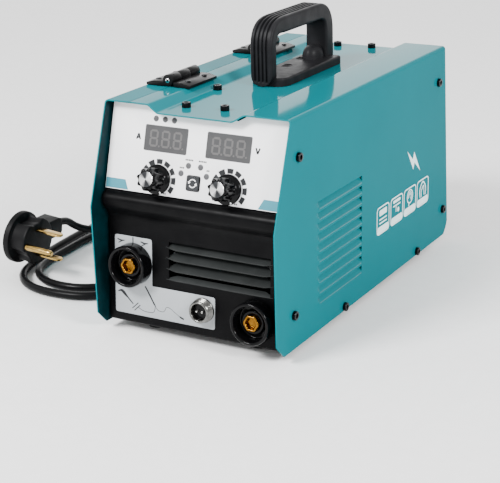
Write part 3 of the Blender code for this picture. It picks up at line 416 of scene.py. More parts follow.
def tint(tree, shader, source, first, second, low=0.3, high=0.7):
    """Mixes two linear colours into the base colour as the source goes from low to high."""
    share = add_node(tree, "ShaderNodeMapRange", {"Value": source, "From Min": low, "From Max": high})
    mixed = add_node(tree, "ShaderNodeMix", {0: share.outputs["Result"], MIX_FIRST: first,
                                             MIX_SECOND: second}, data_type="RGBA")
    tree.links.new(mixed.outputs[MIX_RESULT], shader.inputs["Base Color"])


def relief(tree, shader, source, height):
    """Bumps the surface by height millimetres over the source's range."""
    bump = add_node(tree, "ShaderNodeBump", {"Height": source, "Strength": 1.0, "Distance": height * MM})
    tree.links.new(bump.outputs["Normal"], shader.inputs["Normal"])


@functools.cache
def gloss_enamel(name, colour, shine, roughness=0.08):
    """Stoved gloss enamel on sheet steel, with faint orange peel."""
    look, tree, shader, place = new_finish(name, **{"Roughness": roughness, "Specular IOR Level": shine})
    tint(tree, shader, noise(tree, place, 60.0), (*colour, 1.0), (*[part * 0.94 for part in colour], 1.0))
    relief(tree, shader, noise(tree, place, 2.5), 0.006)
    return look


@functools.cache
def moulded_plastic(name, colour, lighter, roughness, grain=0.8, height=0.02, shine=0.08):
    """Injection-moulded ABS or nylon: a spark-eroded grain and slightly uneven sheen."""
    look, tree, shader, place = new_finish(name, **{"Roughness": roughness, "Specular IOR Level": shine})
    tint(tree, shader, noise(tree, place, 12.0, 4.0), linear(colour), linear(lighter))
    vary(tree, shader, "Roughness", noise(tree, place, 9.0), roughness - 0.05, roughness + 0.07)
    relief(tree, shader, noise(tree, place, grain, 3.0), height)
    return look


@functools.cache
def printed_film(name, colour, deeper, roughness=0.32):
    """Screen-printed polycarbonate film: an even colour under a satin face with a fine tooth."""
    look, tree, shader, place = new_finish(name, **{"Roughness": roughness, "Specular IOR Level": 0.2})
    tint(tree, shader, noise(tree, place, 30.0), linear(colour), linear(deeper))
    relief(tree, shader, noise(tree, place, 0.9), 0.004)
    return look


@functools.cache
def bright_metal(name, colour, deeper, roughness, grain=1.2, height=0.01):
    """Machined or plated metal: fine tool marks and patches of dulled shine."""
    look, tree, shader, place = new_finish(name, **{"Metallic": 1.0, "Roughness": roughness})
    tint(tree, shader, noise(tree, place, 5.0, 3.0), linear(colour), linear(deeper))
    vary(tree, shader, "Roughness", noise(tree, place, 4.0), roughness * 0.75, roughness * 1.35)
    relief(tree, shader, noise(tree, place, grain), height)
    return look


def spun_cap_with_painted_fans(name, centre):
    """Diamond-turned aluminium disc: fine circles as a bump, and a painted highlight in opposite fans,
    where the base colour runs from dark grey to white.

    The coordinates are moved to the disc's centre and tipped level, so the angle round it is
    arctan(y / x), and the painted fans are the sine of twice that angle.
    """
    look, tree, shader, place = new_finish(name, **{"Metallic": 1.0, "Roughness": 0.26})
    centred = add_node(tree, "ShaderNodeMapping", {
        "Vector": place, "Location": [-part * MM for part in centre]}).outputs["Vector"]
    level = add_node(tree, "ShaderNodeMapping", {
        "Vector": centred, "Rotation": (math.atan(UPPER_SLOPE) - math.pi / 2, 0.0, 0.0)}).outputs["Vector"]
    parts = add_node(tree, "ShaderNodeSeparateXYZ", {"Vector": level}).outputs
    angle = add_node(tree, "ShaderNodeMath", {0: parts["Y"], 1: parts["X"]}, operation="ARCTAN2").outputs[0]
    fans = add_node(tree, "ShaderNodeMath", {0: angle, 1: 2.0, 2: 0.9}, operation="MULTIPLY_ADD").outputs[0]
    # Painted highlight: the base colour runs from dark grey to white in fans round the cap.
    painted_highlight_swing = add_node(tree, "ShaderNodeMath", {0: fans}, operation="SINE").outputs[0]
    tint(tree, shader, painted_highlight_swing, linear("3C3D3F"), linear("FFFFFF"), -0.75, 0.6)
    rings = add_node(tree, "ShaderNodeTexWave", {"Vector": level, "Scale": 520.0},
                     wave_type="RINGS", rings_direction="Z")
    relief(tree, shader, rings.outputs["Fac"], 0.004)
    return look


def enamel(settings):
    """The case's teal on its upright faces."""
    return gloss_enamel("teal_gloss_enamel", tuple(settings.enamel), 0.01)


def polish_sheet(sheet, settings):
    """Puts the brighter enamel on a sheet's level faces, and the brightest on beads that stand proud."""
    sheet.data.materials.append(gloss_enamel("teal_polished_enamel", tuple(settings.enamel), 0.045))
    sheet.data.materials.append(gloss_enamel("teal_enamel_on_beads", tuple(settings.enamel), 0.4, 0.12))
    count = len(sheet.data.polygons)
    proud, level = 0.25, 0.35
    normals, centres = np.zeros(count * 3), np.zeros(count * 3)
    sheet.data.polygons.foreach_get("normal", normals)
    sheet.data.polygons.foreach_get("center", centres)
    bead = centres[0::3] > (HALF_WIDTH + proud) * MM
    kinds = np.where(bead, 2, np.where(normals[2::3] > level, 1, 0))
    sheet.data.polygons.foreach_set("material_index", kinds.astype(np.int32))


def black_moulding():
    """ABS of the front and the other black mouldings."""
    return moulded_plastic("black_abs", "050506", "09090A", 0.36, 0.9, 0.02, 0.05)


def fine_black():
    """Polished phenolic of the knobs and the sockets."""
    return moulded_plastic("polished_black_phenolic", "040405", "070708", 0.12, 1.5, 0.003, 0.12)


def black_rubber():
    """Soft PVC of the plug and the feet."""
    return moulded_plastic("black_pvc_rubber", "0C0C0D", "131314", 0.45, 1.4, 0.02)


def plated_steel():
    """Zinc-plated steel."""
    return bright_metal("zinc_plated_steel", "B9BBBD", "96999C", 0.28)


def black_steel():
    """Black-oxide steel of the screws."""
    return bright_metal("black_oxide_steel", "1B1B1D", "2A2A2C", 0.3)


def brass():
    """Brass of the welding sockets' barrels."""
    return bright_metal("machined_brass", "8E6422", "6C4610", 0.22, 0.8, 0.002)


def pale_brass():
    """Brass of the plug's blades and pin."""
    return bright_metal("polished_pale_brass", "B89A5C", "94773E", 0.2, 0.8, 0.006)


def ink(name, colour, other):
    """Screen-printed ink."""
    return printed_film(name, colour, other, 0.4)


def black_ink():
    """Ink of the letters and the connection plate's lines."""
    return ink("black_ink", "232426", "1C1D1F")


def white_ink():
    """Ink of the knobs' pointers and the mode button's arrows."""
    return ink("white_ink", "ECECEC", "E2E2E2")


# Sheet-metal case and its screws.

def case_sheet(section, columns, press=None, keep=None):
    """A bent sheet: each row is one (x, z) of the section, run along y between the case's two edges.

    Columns are clipped to the edges, so the slanted ends come out exact. Press gives the points'
    shift along x from their y and z, and keep says which faces stay.
    """
    section = np.asarray(section, float)
    front = np.array(OUTLINE_FRONT)[::-1]
    rear = np.array(OUTLINE_REAR)[::-1]
    first = np.interp(section[:, 1], front[:, 0], front[:, 1])[:, None]
    last = np.interp(section[:, 1], rear[:, 0], rear[:, 1])[:, None]
    y = np.clip(columns[None, :], first, last)
    x = np.broadcast_to(section[:, :1], y.shape).copy()
    z = np.broadcast_to(section[:, 1:], y.shape)
    if press is not None:
        x += press(y, z)
    mask = None if keep is None else keep(y, z)
    return surface(np.stack([x, y, z], axis=-1), wrap=False, keep=mask)


def make_cover(settings):
    """Right-hand cover with its trough and louvres.

    At a distance s below a louvre's top edge the sheet is pressed in by d (1 - s / strip), and a
    rolled bead stands out by b exp(-((s - middle) / width)^2) under it. The front end of a louvre
    eases in over 4 mm, and its rear end is cut open.
    """
    count, pitch, depth = settings.louvres, settings.louvre_pitch / MM, settings.louvre_depth / MM
    top, front, rear = 118.0, -106.5, -21.5
    strip, bead, bead_middle, bead_width = 5.4, 0.9, 6.2, 0.5
    drops = np.array([-0.02, 0.0, 1.3, 2.7, 4.0, 5.2, 5.6, 6.0, 6.4, 6.8, 7.3, 8.0])
    louvre_rows = (top - pitch * np.arange(count)[:, None] - drops[None, :]).ravel()
    roof = eased([(SEAM + 0.35, TOP), (-44.3, TOP), (-34.6, TROUGH_FLOOR), (34.6, TROUGH_FLOOR),
                  (44.3, TOP), (HALF_WIDTH - BEND - 0.2, TOP)], 1.6, 4)
    bend = ring((HALF_WIDTH - BEND, TOP - BEND), BEND, 7, 90.0, 0.0)
    plain_rows = [192.0, 180.0, 160.0, 140.0, 125.0, 111.5, 18.1, 12.0, 6.0]
    heights = np.unique(np.round(np.concatenate([plain_rows, louvre_rows]), 4))[::-1]
    side = np.column_stack([np.full(len(heights), HALF_WIDTH), heights])
    fade = np.linspace(0.0, 4.0, 6)
    columns = np.unique(np.round(np.concatenate([
        np.linspace(-180.2, -112.0, 12), front + fade, np.linspace(-98.0, -30.0, 12), rear - fade,
        [rear + 0.05], np.linspace(-14.0, 150.0, 14), np.linspace(156.0, 180.2, 9)]), 4))

    def below(z):
        number = np.clip(np.floor((top - z + 1e-6) / pitch), 0, count - 1)
        return top - z - number * pitch

    def press(y, z):
        drop = below(z)
        along = smooth_rise((y - front) / 4.0)
        inward = depth * np.clip(1 - drop / strip, 0.0, 1.0) * (drop > -1e-4) * (y <= rear + 1e-4)
        outward = bead * np.exp(-((drop - bead_middle) / bead_width) ** 2) * smooth_rise((rear - y) / 5.0)
        return np.where(z < top + 0.01, (outward - inward) * along, 0.0)

    def keep(y, z):
        drop = below(z)
        louvred = (z[:-1, :-1] < top + 0.05) & (y[:-1, :-1] > front + 0.5) & (y[:-1, :-1] < rear - 1e-4)
        shelf = louvred & (z[:-1, :-1] - z[1:, :-1] < 0.03) & (np.abs(drop[1:, :-1]) < 0.01)
        end = (np.abs(y[:-1, :-1] - rear) < 1e-3) & (drop[:-1, :-1] > -0.01) & (drop[:-1, :-1] < strip - 0.1)
        end &= z[:-1, :-1] < top + 0.01
        return ~(shelf | end)

    sheet = case_sheet(np.vstack([roof, bend, side]), columns, press, keep)
    cover = make_piece("case_cover", [sheet], enamel(settings), stands_for=["main_cover"],
                       inside=(0.0, 0.0, 90.0), wall=settings.sheet / MM, smooth=28.0)
    polish_sheet(cover, settings)


def make_door(settings):
    """Hinged left-hand side: seam, bend and flat side, on the same bending line as the cover. Its inner face
    is a darker teal that paints the shade inside the door.
    """
    roof = np.array([(SEAM - 0.35, TOP), (-HALF_WIDTH + BEND + 0.2, TOP)])
    bend = ring((-HALF_WIDTH + BEND, TOP - BEND), BEND, 7, 90.0, 180.0)
    heights = np.array([192.0, 160.0, 111.5, 60.0, 18.1, 12.0, 6.0])
    side = np.column_stack([np.full(len(heights), -HALF_WIDTH), heights])
    columns = np.unique(np.concatenate([np.linspace(-180.2, -150.0, 16), np.linspace(-140.0, 155.0, 12),
                                        np.linspace(160.0, 180.2, 9)]))
    sheet = case_sheet(np.vstack([roof, bend, side]), columns)
    # The darker teal on the door's inner face is painted shade.
    make_piece("door_skin", [sheet], enamel(settings), body="door", stands_for=["spool_door"],
               inside=(0.0, 0.0, 90.0), wall=settings.sheet / MM, smooth=28.0,
               inner_shade_look=moulded_plastic("painted_shade_inner_teal", "00171B", "002227", 0.5, 3.0, 0.01))


def cap_screw(place, centre, radius, height, knurls=0):
    """Cap screw: a turned head with a rounded edge, and a six-lobed socket sunk into it."""
    recess = radius * 0.56
    head = eased([(radius, 0.05), (radius, height), (recess, height)], 0.5, 4)
    head = np.vstack([[(0.0, 0.05)], head])
    socket = np.array([(recess, height), (recess * 0.86, height - 1.6), (0.0, height - 1.8)])
    rim = turned(head, place, centre, 54, knurls, 0.05, lambda profile: profile[:, 0] > radius - 0.01)
    return [rim, turned(socket, place, centre, 54, 6, 0.16, lambda profile: profile[:, 0] < recess - 0.1)]


def make_screws():
    """Black screws on the cover's side and roof, and the knurled captive screw on the door."""
    shapes = []
    for spot in SIDE_SCREWS:
        shapes += cap_screw(RIGHT_SIDE, spot, 3.7, 2.9)
    make_piece("side_cover_screws", shapes, black_steel(), stands_for=["cover_screw"])
    deck = functools.partial(on_plane, (0.0, 0.0, TROUGH_FLOOR), (1, 0, 0), (0, 1, 0), (0, 0, 1))
    shapes = []
    for spot in ROOF_SCREWS:
        shapes += cap_screw(deck, spot, 3.6, 4.4, 18)
    make_piece("roof_screws", shapes, black_steel())
    profile = eased([(0.0, 3.0), (6.2, 3.0), (7.0, 2.2), (7.0, 0.3), (0.0, 0.3)], 0.4, 3)
    knob = turned(profile, LEFT_SIDE, (0.0, 14.0), 80, 20, 0.03, lambda points: points[:, 0] > 6.0)
    make_piece("door_screw_head", [knob], black_moulding(), body="thumb_screw",
               stands_for=["door_thumb_screw"])


# Front: moulded panel, printed film, connection plate.

def make_moulding():
    """Black front moulding: one profile run across the machine, with the louvre opening left out.

    The profile goes from the foot up the connection face, over the lip and up the control face. Its
    ends roll back by a quarter circle.
    """
    lower = LOWER([(0, 2.8, 0), (0, 46.0, 0), (0, 78.6, 0), (0, 91.5, 0)])[:, 1:]
    lip = [(-160.6, 102.2), (-164.6, 106.6), (-167.3, 110.6), (-168.0, 115.5), (-166.4, 119.4),
           (-163.0, 122.0)]
    upper = UPPER([(0, 0.0, -1.2), (0, UPPER_TOP - 0.6, -1.2)])[:, 1:]
    start = eased(np.vstack([[(-148.0, 8.8)], lower[:2]]), 1.6, 4)[:-1]
    rest = eased(np.vstack([lower[2:], lip, upper]), (1.0, 4.0, 3.0, 3.0, 3.0, 2.6, 1.6, 0.8), 5)
    opening_rows = np.linspace(lower[1], lower[2], 4)[:-1]
    profile = np.vstack([start, opening_rows, rest])
    first_row, last_row = len(start), len(start) + len(opening_rows)
    left, right = PANEL_SPAN
    roll_reach = 1.4
    inwards = np.array([0.0, 0.25, 0.7, roll_reach])
    columns = np.unique(np.concatenate([
        left + inwards, np.linspace(left + 8, FRONT_OPENING[0], 8),
        [-CUTOUT_TOP, -CUTOUT_FLOOR, CUTOUT_FLOOR, CUTOUT_TOP],
        np.linspace(FRONT_OPENING[0], FRONT_OPENING[1], 12), [FRONT_OPENING[1] + 5.0],
        right - inwards]))
    from_end = np.minimum(np.minimum(columns - left, right - columns), roll_reach) / roll_reach
    roll = 1.2 * (1 - np.sqrt(1 - (1 - from_end) ** 2))
    grid = np.zeros((len(profile), len(columns), 3))
    grid[..., 0] = columns
    grid[..., 1] = profile[:, :1] + roll
    grid[..., 2] = profile[:, 1:]
    reach_up = np.interp(np.abs(columns), [CUTOUT_FLOOR, CUTOUT_TOP], [UPPER_TOP - 7.3, UPPER_TOP - 0.6])
    grid[-1] = UPPER(np.column_stack([columns, reach_up, np.full(len(columns), -1.2)]))
    row = np.arange(len(profile) - 1)[:, None]
    middle = (columns[:-1] + columns[1:])[None, :] / 2
    inside_opening = (middle > FRONT_OPENING[0]) & (middle < FRONT_OPENING[1])
    opening = (row >= first_row) & (row < last_row) & inside_opening
    sheet = surface(grid, wrap=False, keep=~opening)
    make_piece("front_moulding", [sheet], black_moulding(), stands_for=["front_panel"],
               inside=(0.0, 0.0, 100.0), wall=2.7, smooth=40.0)


def make_front_louvres():
    """Three fins and a sill in the opening, in a lighter black than the moulding that paints light on their
    faces.

    Towards its ends a section draws in about a point on the panel's face, by the distance from the tip
    over 9 mm, raised to 0.75, so each end is a sharp tip that lies on the face beside the opening.
    """
    reach = 9.5 * np.linspace(0.0, 1.0, 10) ** 1.4
    tips = (FRONT_OPENING[0] - 2.6, FRONT_OPENING[1] + 2.9)
    across = np.concatenate([tips[0] + reach, tips[1] - reach[::-1]])
    size = (np.clip(np.minimum(across - tips[0], tips[1] - across) / 9.0, 0.004, 1.0) ** 0.75)[:, None, None]
    _, up, out = face_axes(LOWER_SLOPE)
    fin = eased([(-3.5, 0.3), (2.9, -7.0), (1.8, -7.9), (-4.4, -1.5), (-4.3, 0.0)], 0.3, 4, closed=True)
    sill = eased([(-2.2, 0.3), (1.6, -3.6), (0.5, -4.3), (-3.2, -2.4), (-2.8, 0.0)], 0.3, 4, closed=True)
    rows = [(height, fin, (-1.6, 0.3)) for height in (75.8, 66.7, 57.6)] + [(48.2, sill, (-1.8, 0.3))]
    shapes = []
    for height, section, tip in rows:
        path = LOWER(np.column_stack([across, np.full(len(across), height), np.zeros(len(across))]))
        shapes.append(carried(tip + (section - tip) * size, path, up, out))
    # The fins' lighter black is painted light on their upward faces.
    look = moulded_plastic("black_abs_fin_painted_lit", "1B1D1D", "222424", 0.36, 0.9, 0.015)
    make_piece("front_louvre_fins", shapes, look)


def make_film():
    """White printed film on the control face, cut round the trough at its top edge, with two badges."""
    left, right = PANEL_SPAN
    floor = UPPER_TOP - 6.1
    outline = eased([(left, 0.6), (right, 0.6), (right, UPPER_TOP), (CUTOUT_TOP, UPPER_TOP),
                     (CUTOUT_FLOOR, floor), (-CUTOUT_FLOOR, floor), (-CUTOUT_TOP, UPPER_TOP),
                     (left, UPPER_TOP)], 0.5, 4, closed=True)
    make_piece("control_film", [plate(outline, -1.0, 0.0, UPPER, 0.25)],
               printed_film("white_polycarbonate_film", "F6F6F7", "F2F2F4"),
               stands_for=["control_overlay"])
    badges = [plate(eased(corners, 0.4, 3, closed=True), 0.0, INK, UPPER, 0.02, 2) for corners in (
        [(left + 0.4, 1.2), (-60.5, 1.2), (-64.0, 9.4), (left + 0.4, 9.4)],
        [(right - 0.4, 1.2), (right - 0.4, 9.4), (65.5, 9.4), (61.0, 1.2)])]
    make_piece("corner_badges", badges, ink("pale_blue_ink", "3F8392", "3A7C8B"))


def make_connection_plate():
    """L-shaped printed plate round the torch and control sockets, with its lines and pictograms."""
    outline = eased([(-76.2, 10.4), (21.0, 10.4), (21.0, 38.0), (-39.7, 38.0), (-39.7, 78.2),
                     (-76.2, 78.2)], (2.4, 2.4, 2.4, 1.0, 2.4, 2.4), 6, closed=True)
    make_piece("connection_plate", [plate(outline, 0.3, 0.9, LOWER, 0.2)],
               printed_film("light_grey_printed_foil", "989C9F", "93979A", 0.35),
               stands_for=["connection_label"])

    def line(points, width):
        return stroke(points, width, 0.9, 0.9 + INK, LOWER)

    torch = eased([(-73.5, 28.6), (-70.0, 30.2), (-66.0, 26.5), (-58.5, 19.4)], 3.0, 6)
    swell = 0.9 + 1.9 * np.sin(np.linspace(0.0, math.pi, len(torch)))
    marks = [line([(-58.0, 78.0), (-58.0, 72.0)], 1.0), line([(-43.4, 50.8), (-40.1, 50.8)], 0.9),
             line(torch, swell), line([(-59.5, 15.6), (-53.4, 21.2)], 0.8),
             line([(-57.4, 14.0), (-51.4, 19.6)], 0.8),
             line(eased([(-53.6, 17.4), (-48.0, 14.6), (-38.0, 14.8), (-36.6, 19.0), (-36.8, 22.8)],
                        4.0, 8), 0.45),
             line(eased([(-46.4, 37.0), (-42.5, 31.0), (-37.0, 21.8)], 3.0, 5), 1.4),
             line(eased([(-36.8, 22.4), (-34.5, 17.6), (-27.5, 17.2), (-26.0, 22.4), (-22.0, 22.0),
                         (-15.5, 17.6), (-11.5, 15.6)], 3.0, 6), 0.4),
             line([(-12.5, 15.9), (-8.6, 14.4)], 1.5)]
    for x, v in ((-73.6, 74.6), (-50.5, 75.0)):
        marks.append(line([(x, v), (x + 4.0, v - 1.2), (x + 7.4, v - 0.6)], (0.9, 1.6, 0.6)))
        marks.append(line([(x + 1.0, v - 3.4), (x + 4.4, v - 1.6)], 0.8))
    make_piece("connection_plate_marks", marks, black_ink())


# Controls.

def make_captions():
    """Rows of short dashes that stand for the panel's small print."""
    dashes = []
    for u, v, count in CAPTIONS:
        for number in range(count):
            spot = (u + DASH_PITCH * (number - (count - 1) / 2), v)
            dashes.append(plate(box_outline(spot, DASH_SIZE, 0.1, 1), 0.0, INK, UPPER, 0.01, 1))
    make_piece("panel_caption_dashes", dashes, ink("grey_caption_ink", "1E1F20", "191A1B"))


def seven_bars(x, v, width, height, thick):
    """Seven bars with pointed ends, each running between two corners of a digit's cell."""
    corners = [(0.0, 1.0), (1.0, 1.0), (1.0, 0.5), (1.0, 0.0), (0.0, 0.0), (0.0, 0.5), (0.0, 1.0)]
    pairs = list(zip(corners[:-1], corners[1:])) + [(corners[5], corners[2])]
    bars = []
    for start, end in pairs:
        first = np.array([x, v]) + np.array(start) * (width, height)
        last = np.array([x, v]) + np.array(end) * (width, height)
        along = (last - first) / np.linalg.norm(last - first)
        points = [first + along * 0.25, first + along * 0.85, last - along * 0.85, last - along * 0.25]
        bars.append(stroke(points, (0.15, thick, thick, 0.15), WINDOW_FACE, WINDOW_FACE + INK, UPPER))
    return bars


def make_displays():
    """Smoked windows with a thin rim, and the unlit digits that show through them."""
    window = moulded_plastic("smoked_acrylic", "434344", "484849", 0.12, 4.0, 0.003)
    unlit = moulded_plastic("unlit_led_bars", "565555", "5A5959", 0.3, 4.0, 0.004)
    first, pitch, cell, bar = 14.6, 11.2, (6.4, 12.4), 1.75
    for name, spot in DISPLAYS.items():
        outline = box_outline(spot, (40.0, 20.4), 1.0)
        rim = band(box_outline(spot, (40.9, 21.3), 1.4), outline, -0.5, 0.12, UPPER)
        make_piece(name + "_rim", [rim], ink("grey_rim_ink", "505052", "58585A"))
        make_piece(name + "_window", [plate(outline, -0.6, WINDOW_FACE, UPPER, 0.15)], window,
                   stands_for=[name])
        bars = []
        low = spot[1] - cell[1] / 2
        for x in spot[0] - first + pitch * np.arange(3):
            bars += seven_bars(x, low, *cell, bar)
            bars.append(plate(ring((x + 8.6, low), 0.8, 16), WINDOW_FACE, WINDOW_FACE + INK, UPPER, 0.01, 2))
        make_piece(name + "_digits", bars, unlit)


def make_lights():
    """Small domed lenses: radius r cos(a) at height h sin(a), as a goes from a quarter turn to 0."""
    angle = np.linspace(math.pi / 2, 0.0, 6)
    dome = np.column_stack([2.5 * np.cos(angle), 0.05 + 0.65 * np.sin(angle)])
    profile = np.vstack([dome, [(2.5, -0.8), (0.0, -0.8)]])
    shapes = [turned(profile, UPPER, spot, 28) for spot in STATUS_LIGHTS + MODE_LIGHTS]
    make_piece("indicator_lenses", shapes, moulded_plastic("grey_lens", "4B4B4D", "525254", 0.25, 2.0, 0.006))


def make_knobs(settings):
    """Fluted knobs on a round skirt, each with a spun cap whose fans of highlight are painted, a pointer line
    and a printed scale.

    The radius is multiplied by 1 + d cos(n a) on the grip only, so the skirt and the top stay round.
    """
    profile = eased([(0.0, 18.2), (6.5, 18.2), (6.9, 18.6), (7.9, 18.3), (8.6, 16.6), (8.9, 6.2), (9.3, 4.4),
                     (11.6, 3.4), (12.5, 2.4), (12.5, 0.8), (0.0, 0.8)],
                    (0.1, 0.3, 0.6, 1.4, 1.4, 0.9, 0.8, 0.7, 0.5), 5)

    def on_grip(points):
        return (points[:, 0] > 7.0) * smooth_rise((points[:, 1] - 4.6) / 2.0)

    first, step, half_arc, scale_radius = 208.0, 29.5, 10.5, 14.8
    for name, spot in KNOBS.items():
        body = name.replace("knob", "dial")
        grip = turned(profile, UPPER, spot, 120, settings.flutes, 0.125, on_grip, phase=0.2)
        make_piece(name + "_grip", [grip], fine_black(), body=body, stands_for=[name],
                   smooth=50.0)
        cap = turned(eased([(0.0, 18.75), (6.1, 18.75), (6.4, 18.2)], 0.25, 3), UPPER, spot, 60)
        make_piece(name + "_cap", [cap], spun_cap_with_painted_fans(name + "_aluminium_with_painted_fans", UPPER((*spot, 18.75))),
                   body=body)
        aim = math.radians(settings.pointer)
        line = [(spot[0] + r * math.cos(aim), spot[1] + r * math.sin(aim)) for r in (9.6, 12.2)]
        make_piece(name + "_pointer", [stroke(line, 1.0, 3.0, 3.75, UPPER)], white_ink(), body=body)
        arcs = [ring(spot, scale_radius, 7, middle - half_arc, middle + half_arc)
                for middle in first - step * np.arange(9)]
        blocks = [stroke(arc, 4.0, 0.0, INK, UPPER) for arc in arcs]
        make_piece(name + "_scale", blocks, ink("dark_grey_ink", "222325", "1C1D1F"))


def make_button():
    """Mode button in its square frame, with two arrows that chase each other round a circle."""
    rim = band(box_outline(BUTTON, (12.8, 12.8), 2.2), box_outline(BUTTON, (11.5, 11.5), 1.6),
               -0.6, 0.5, UPPER)
    make_piece("mode_button_frame", [rim], black_moulding())
    cap = plate(box_outline(BUTTON, (11.2, 11.2), 1.5), -7.5, 1.4, UPPER, 0.5)
    make_piece("mode_button_cap", [cap], moulded_plastic("button_abs", "2A2B2D", "333436", 0.34, 1.0, 0.01),
               body="mode_key", stands_for=["mode_button"])
    marks = []
    radius, sweep, low, high = 3.2, 125.0, 1.4, 1.45
    for first in (35.0, 215.0):
        tip = math.radians(first + sweep)
        outward, ahead = np.array([math.cos(tip), math.sin(tip)]), np.array([-math.sin(tip), math.cos(tip)])
        base = np.asarray(BUTTON) + outward * radius
        marks.append(stroke(ring(BUTTON, radius, 14, first, first + sweep), 0.75, low, high, UPPER))
        marks.append(plate([base - outward * 1.3, base + outward * 1.3, base + ahead * 2.0], low, high,
                           UPPER, 0.01, 2))
    make_piece("mode_button_arrows", marks, white_ink(), body="mode_key")


def make_unit_letters():
    """The unit letters beside the displays, each drawn with single strokes."""
    lines = [((-57.4, 43.6), (-55.6, 48.4)), ((-55.6, 48.4), (-53.8, 43.6)), ((-56.8, 45.2), (-54.4, 45.2)),
             ((53.7, 48.4), (55.4, 43.8)), ((55.4, 43.8), (57.1, 48.4))]
    shapes = [stroke(line, 1.4, 0.0, INK, UPPER) for line in lines]
    make_piece("unit_letters", shapes, black_ink())


# Sockets.

def make_sockets():
    """Two twist-lock welding sockets, their keyed brass barrels, and the screwed control socket.

    The control socket's thread is a ripple on its profile, the radius at height h being r + a sin(2 pi h).
    """
    collar = eased([(7.2, -2.0), (7.2, 7.6), (9.8, 7.6), (10.4, 3.0), (14.2, 3.0), (14.5, 13.2),
                    (15.4, 14.5), (17.1, 14.5), (17.8, 13.2), (18.0, 1.2), (12.9, 0.2), (12.9, -2.0)],
                   (0.5, 0.6, 0.4, 0.8, 0.7, 0.7, 0.7, 0.6, 0.4, 0.1), 4)
    barrel = eased([(0.0, 6.2), (3.9, 6.8), (4.6, 10.6), (5.0, 11.3), (6.2, 11.3), (6.9, 10.6), (7.1, -3.0)],
                   (0.2, 0.4, 0.4, 0.4, 0.3), 4)
    for name, spot in SOCKETS.items():
        make_piece(name + "_ring", [turned(collar, LOWER, spot, 96)], fine_black(),
                   stands_for=[name + "_collar"], smooth=50.0)
        hexed = turned(barrel, LOWER, spot, 72, 6, 0.05, lambda points: points[:, 1] > 5.0)
        make_piece(name + "_barrel", [hexed], brass(), stands_for=[name + "_contact"],
                   smooth=50.0)
    radius, ripple, turns = 9.15, 0.28, np.linspace(3.2, 8.4, 53)
    thread = np.column_stack([radius + ripple * np.sin(2 * math.pi * turns), turns])
    shell = np.vstack([[(8.0, 0.6), (10.2, 0.6), (10.4, 1.0), (10.4, 2.6), (10.0, 3.0)], thread,
                       [(8.9, 9.1), (8.4, 9.5), (7.6, 9.5), (7.1, 9.0), (7.05, 3.8)]])
    make_piece("control_socket_ring", [turned(shell, LOWER, CONTROL_SOCKET, 72)],
               bright_metal("bright_nickel", "7C7C79", "5C5C5A", 0.2), stands_for=["control_socket_shell"],
               smooth=60.0)
    core = eased([(7.0, 2.0), (7.0, 4.9), (6.4, 5.4), (0.0, 5.4)], 0.4, 3)
    make_piece("control_socket_core", [turned(core, LOWER, CONTROL_SOCKET, 48)], fine_black(),
               stands_for=["control_socket_insert"])
    pin = eased([(0.0, 8.4), (1.0, 8.0), (1.15, 5.0)], 0.4, 4)
    pins = [turned(pin, LOWER, (CONTROL_SOCKET[0] + side, CONTROL_SOCKET[1]), 20) for side in (-2.6, 2.6)]
    make_piece("control_socket_pins", pins, bright_metal("bright_nickel_pin", "B4B4B0", "9A9A96", 0.16))


# Carry handle.

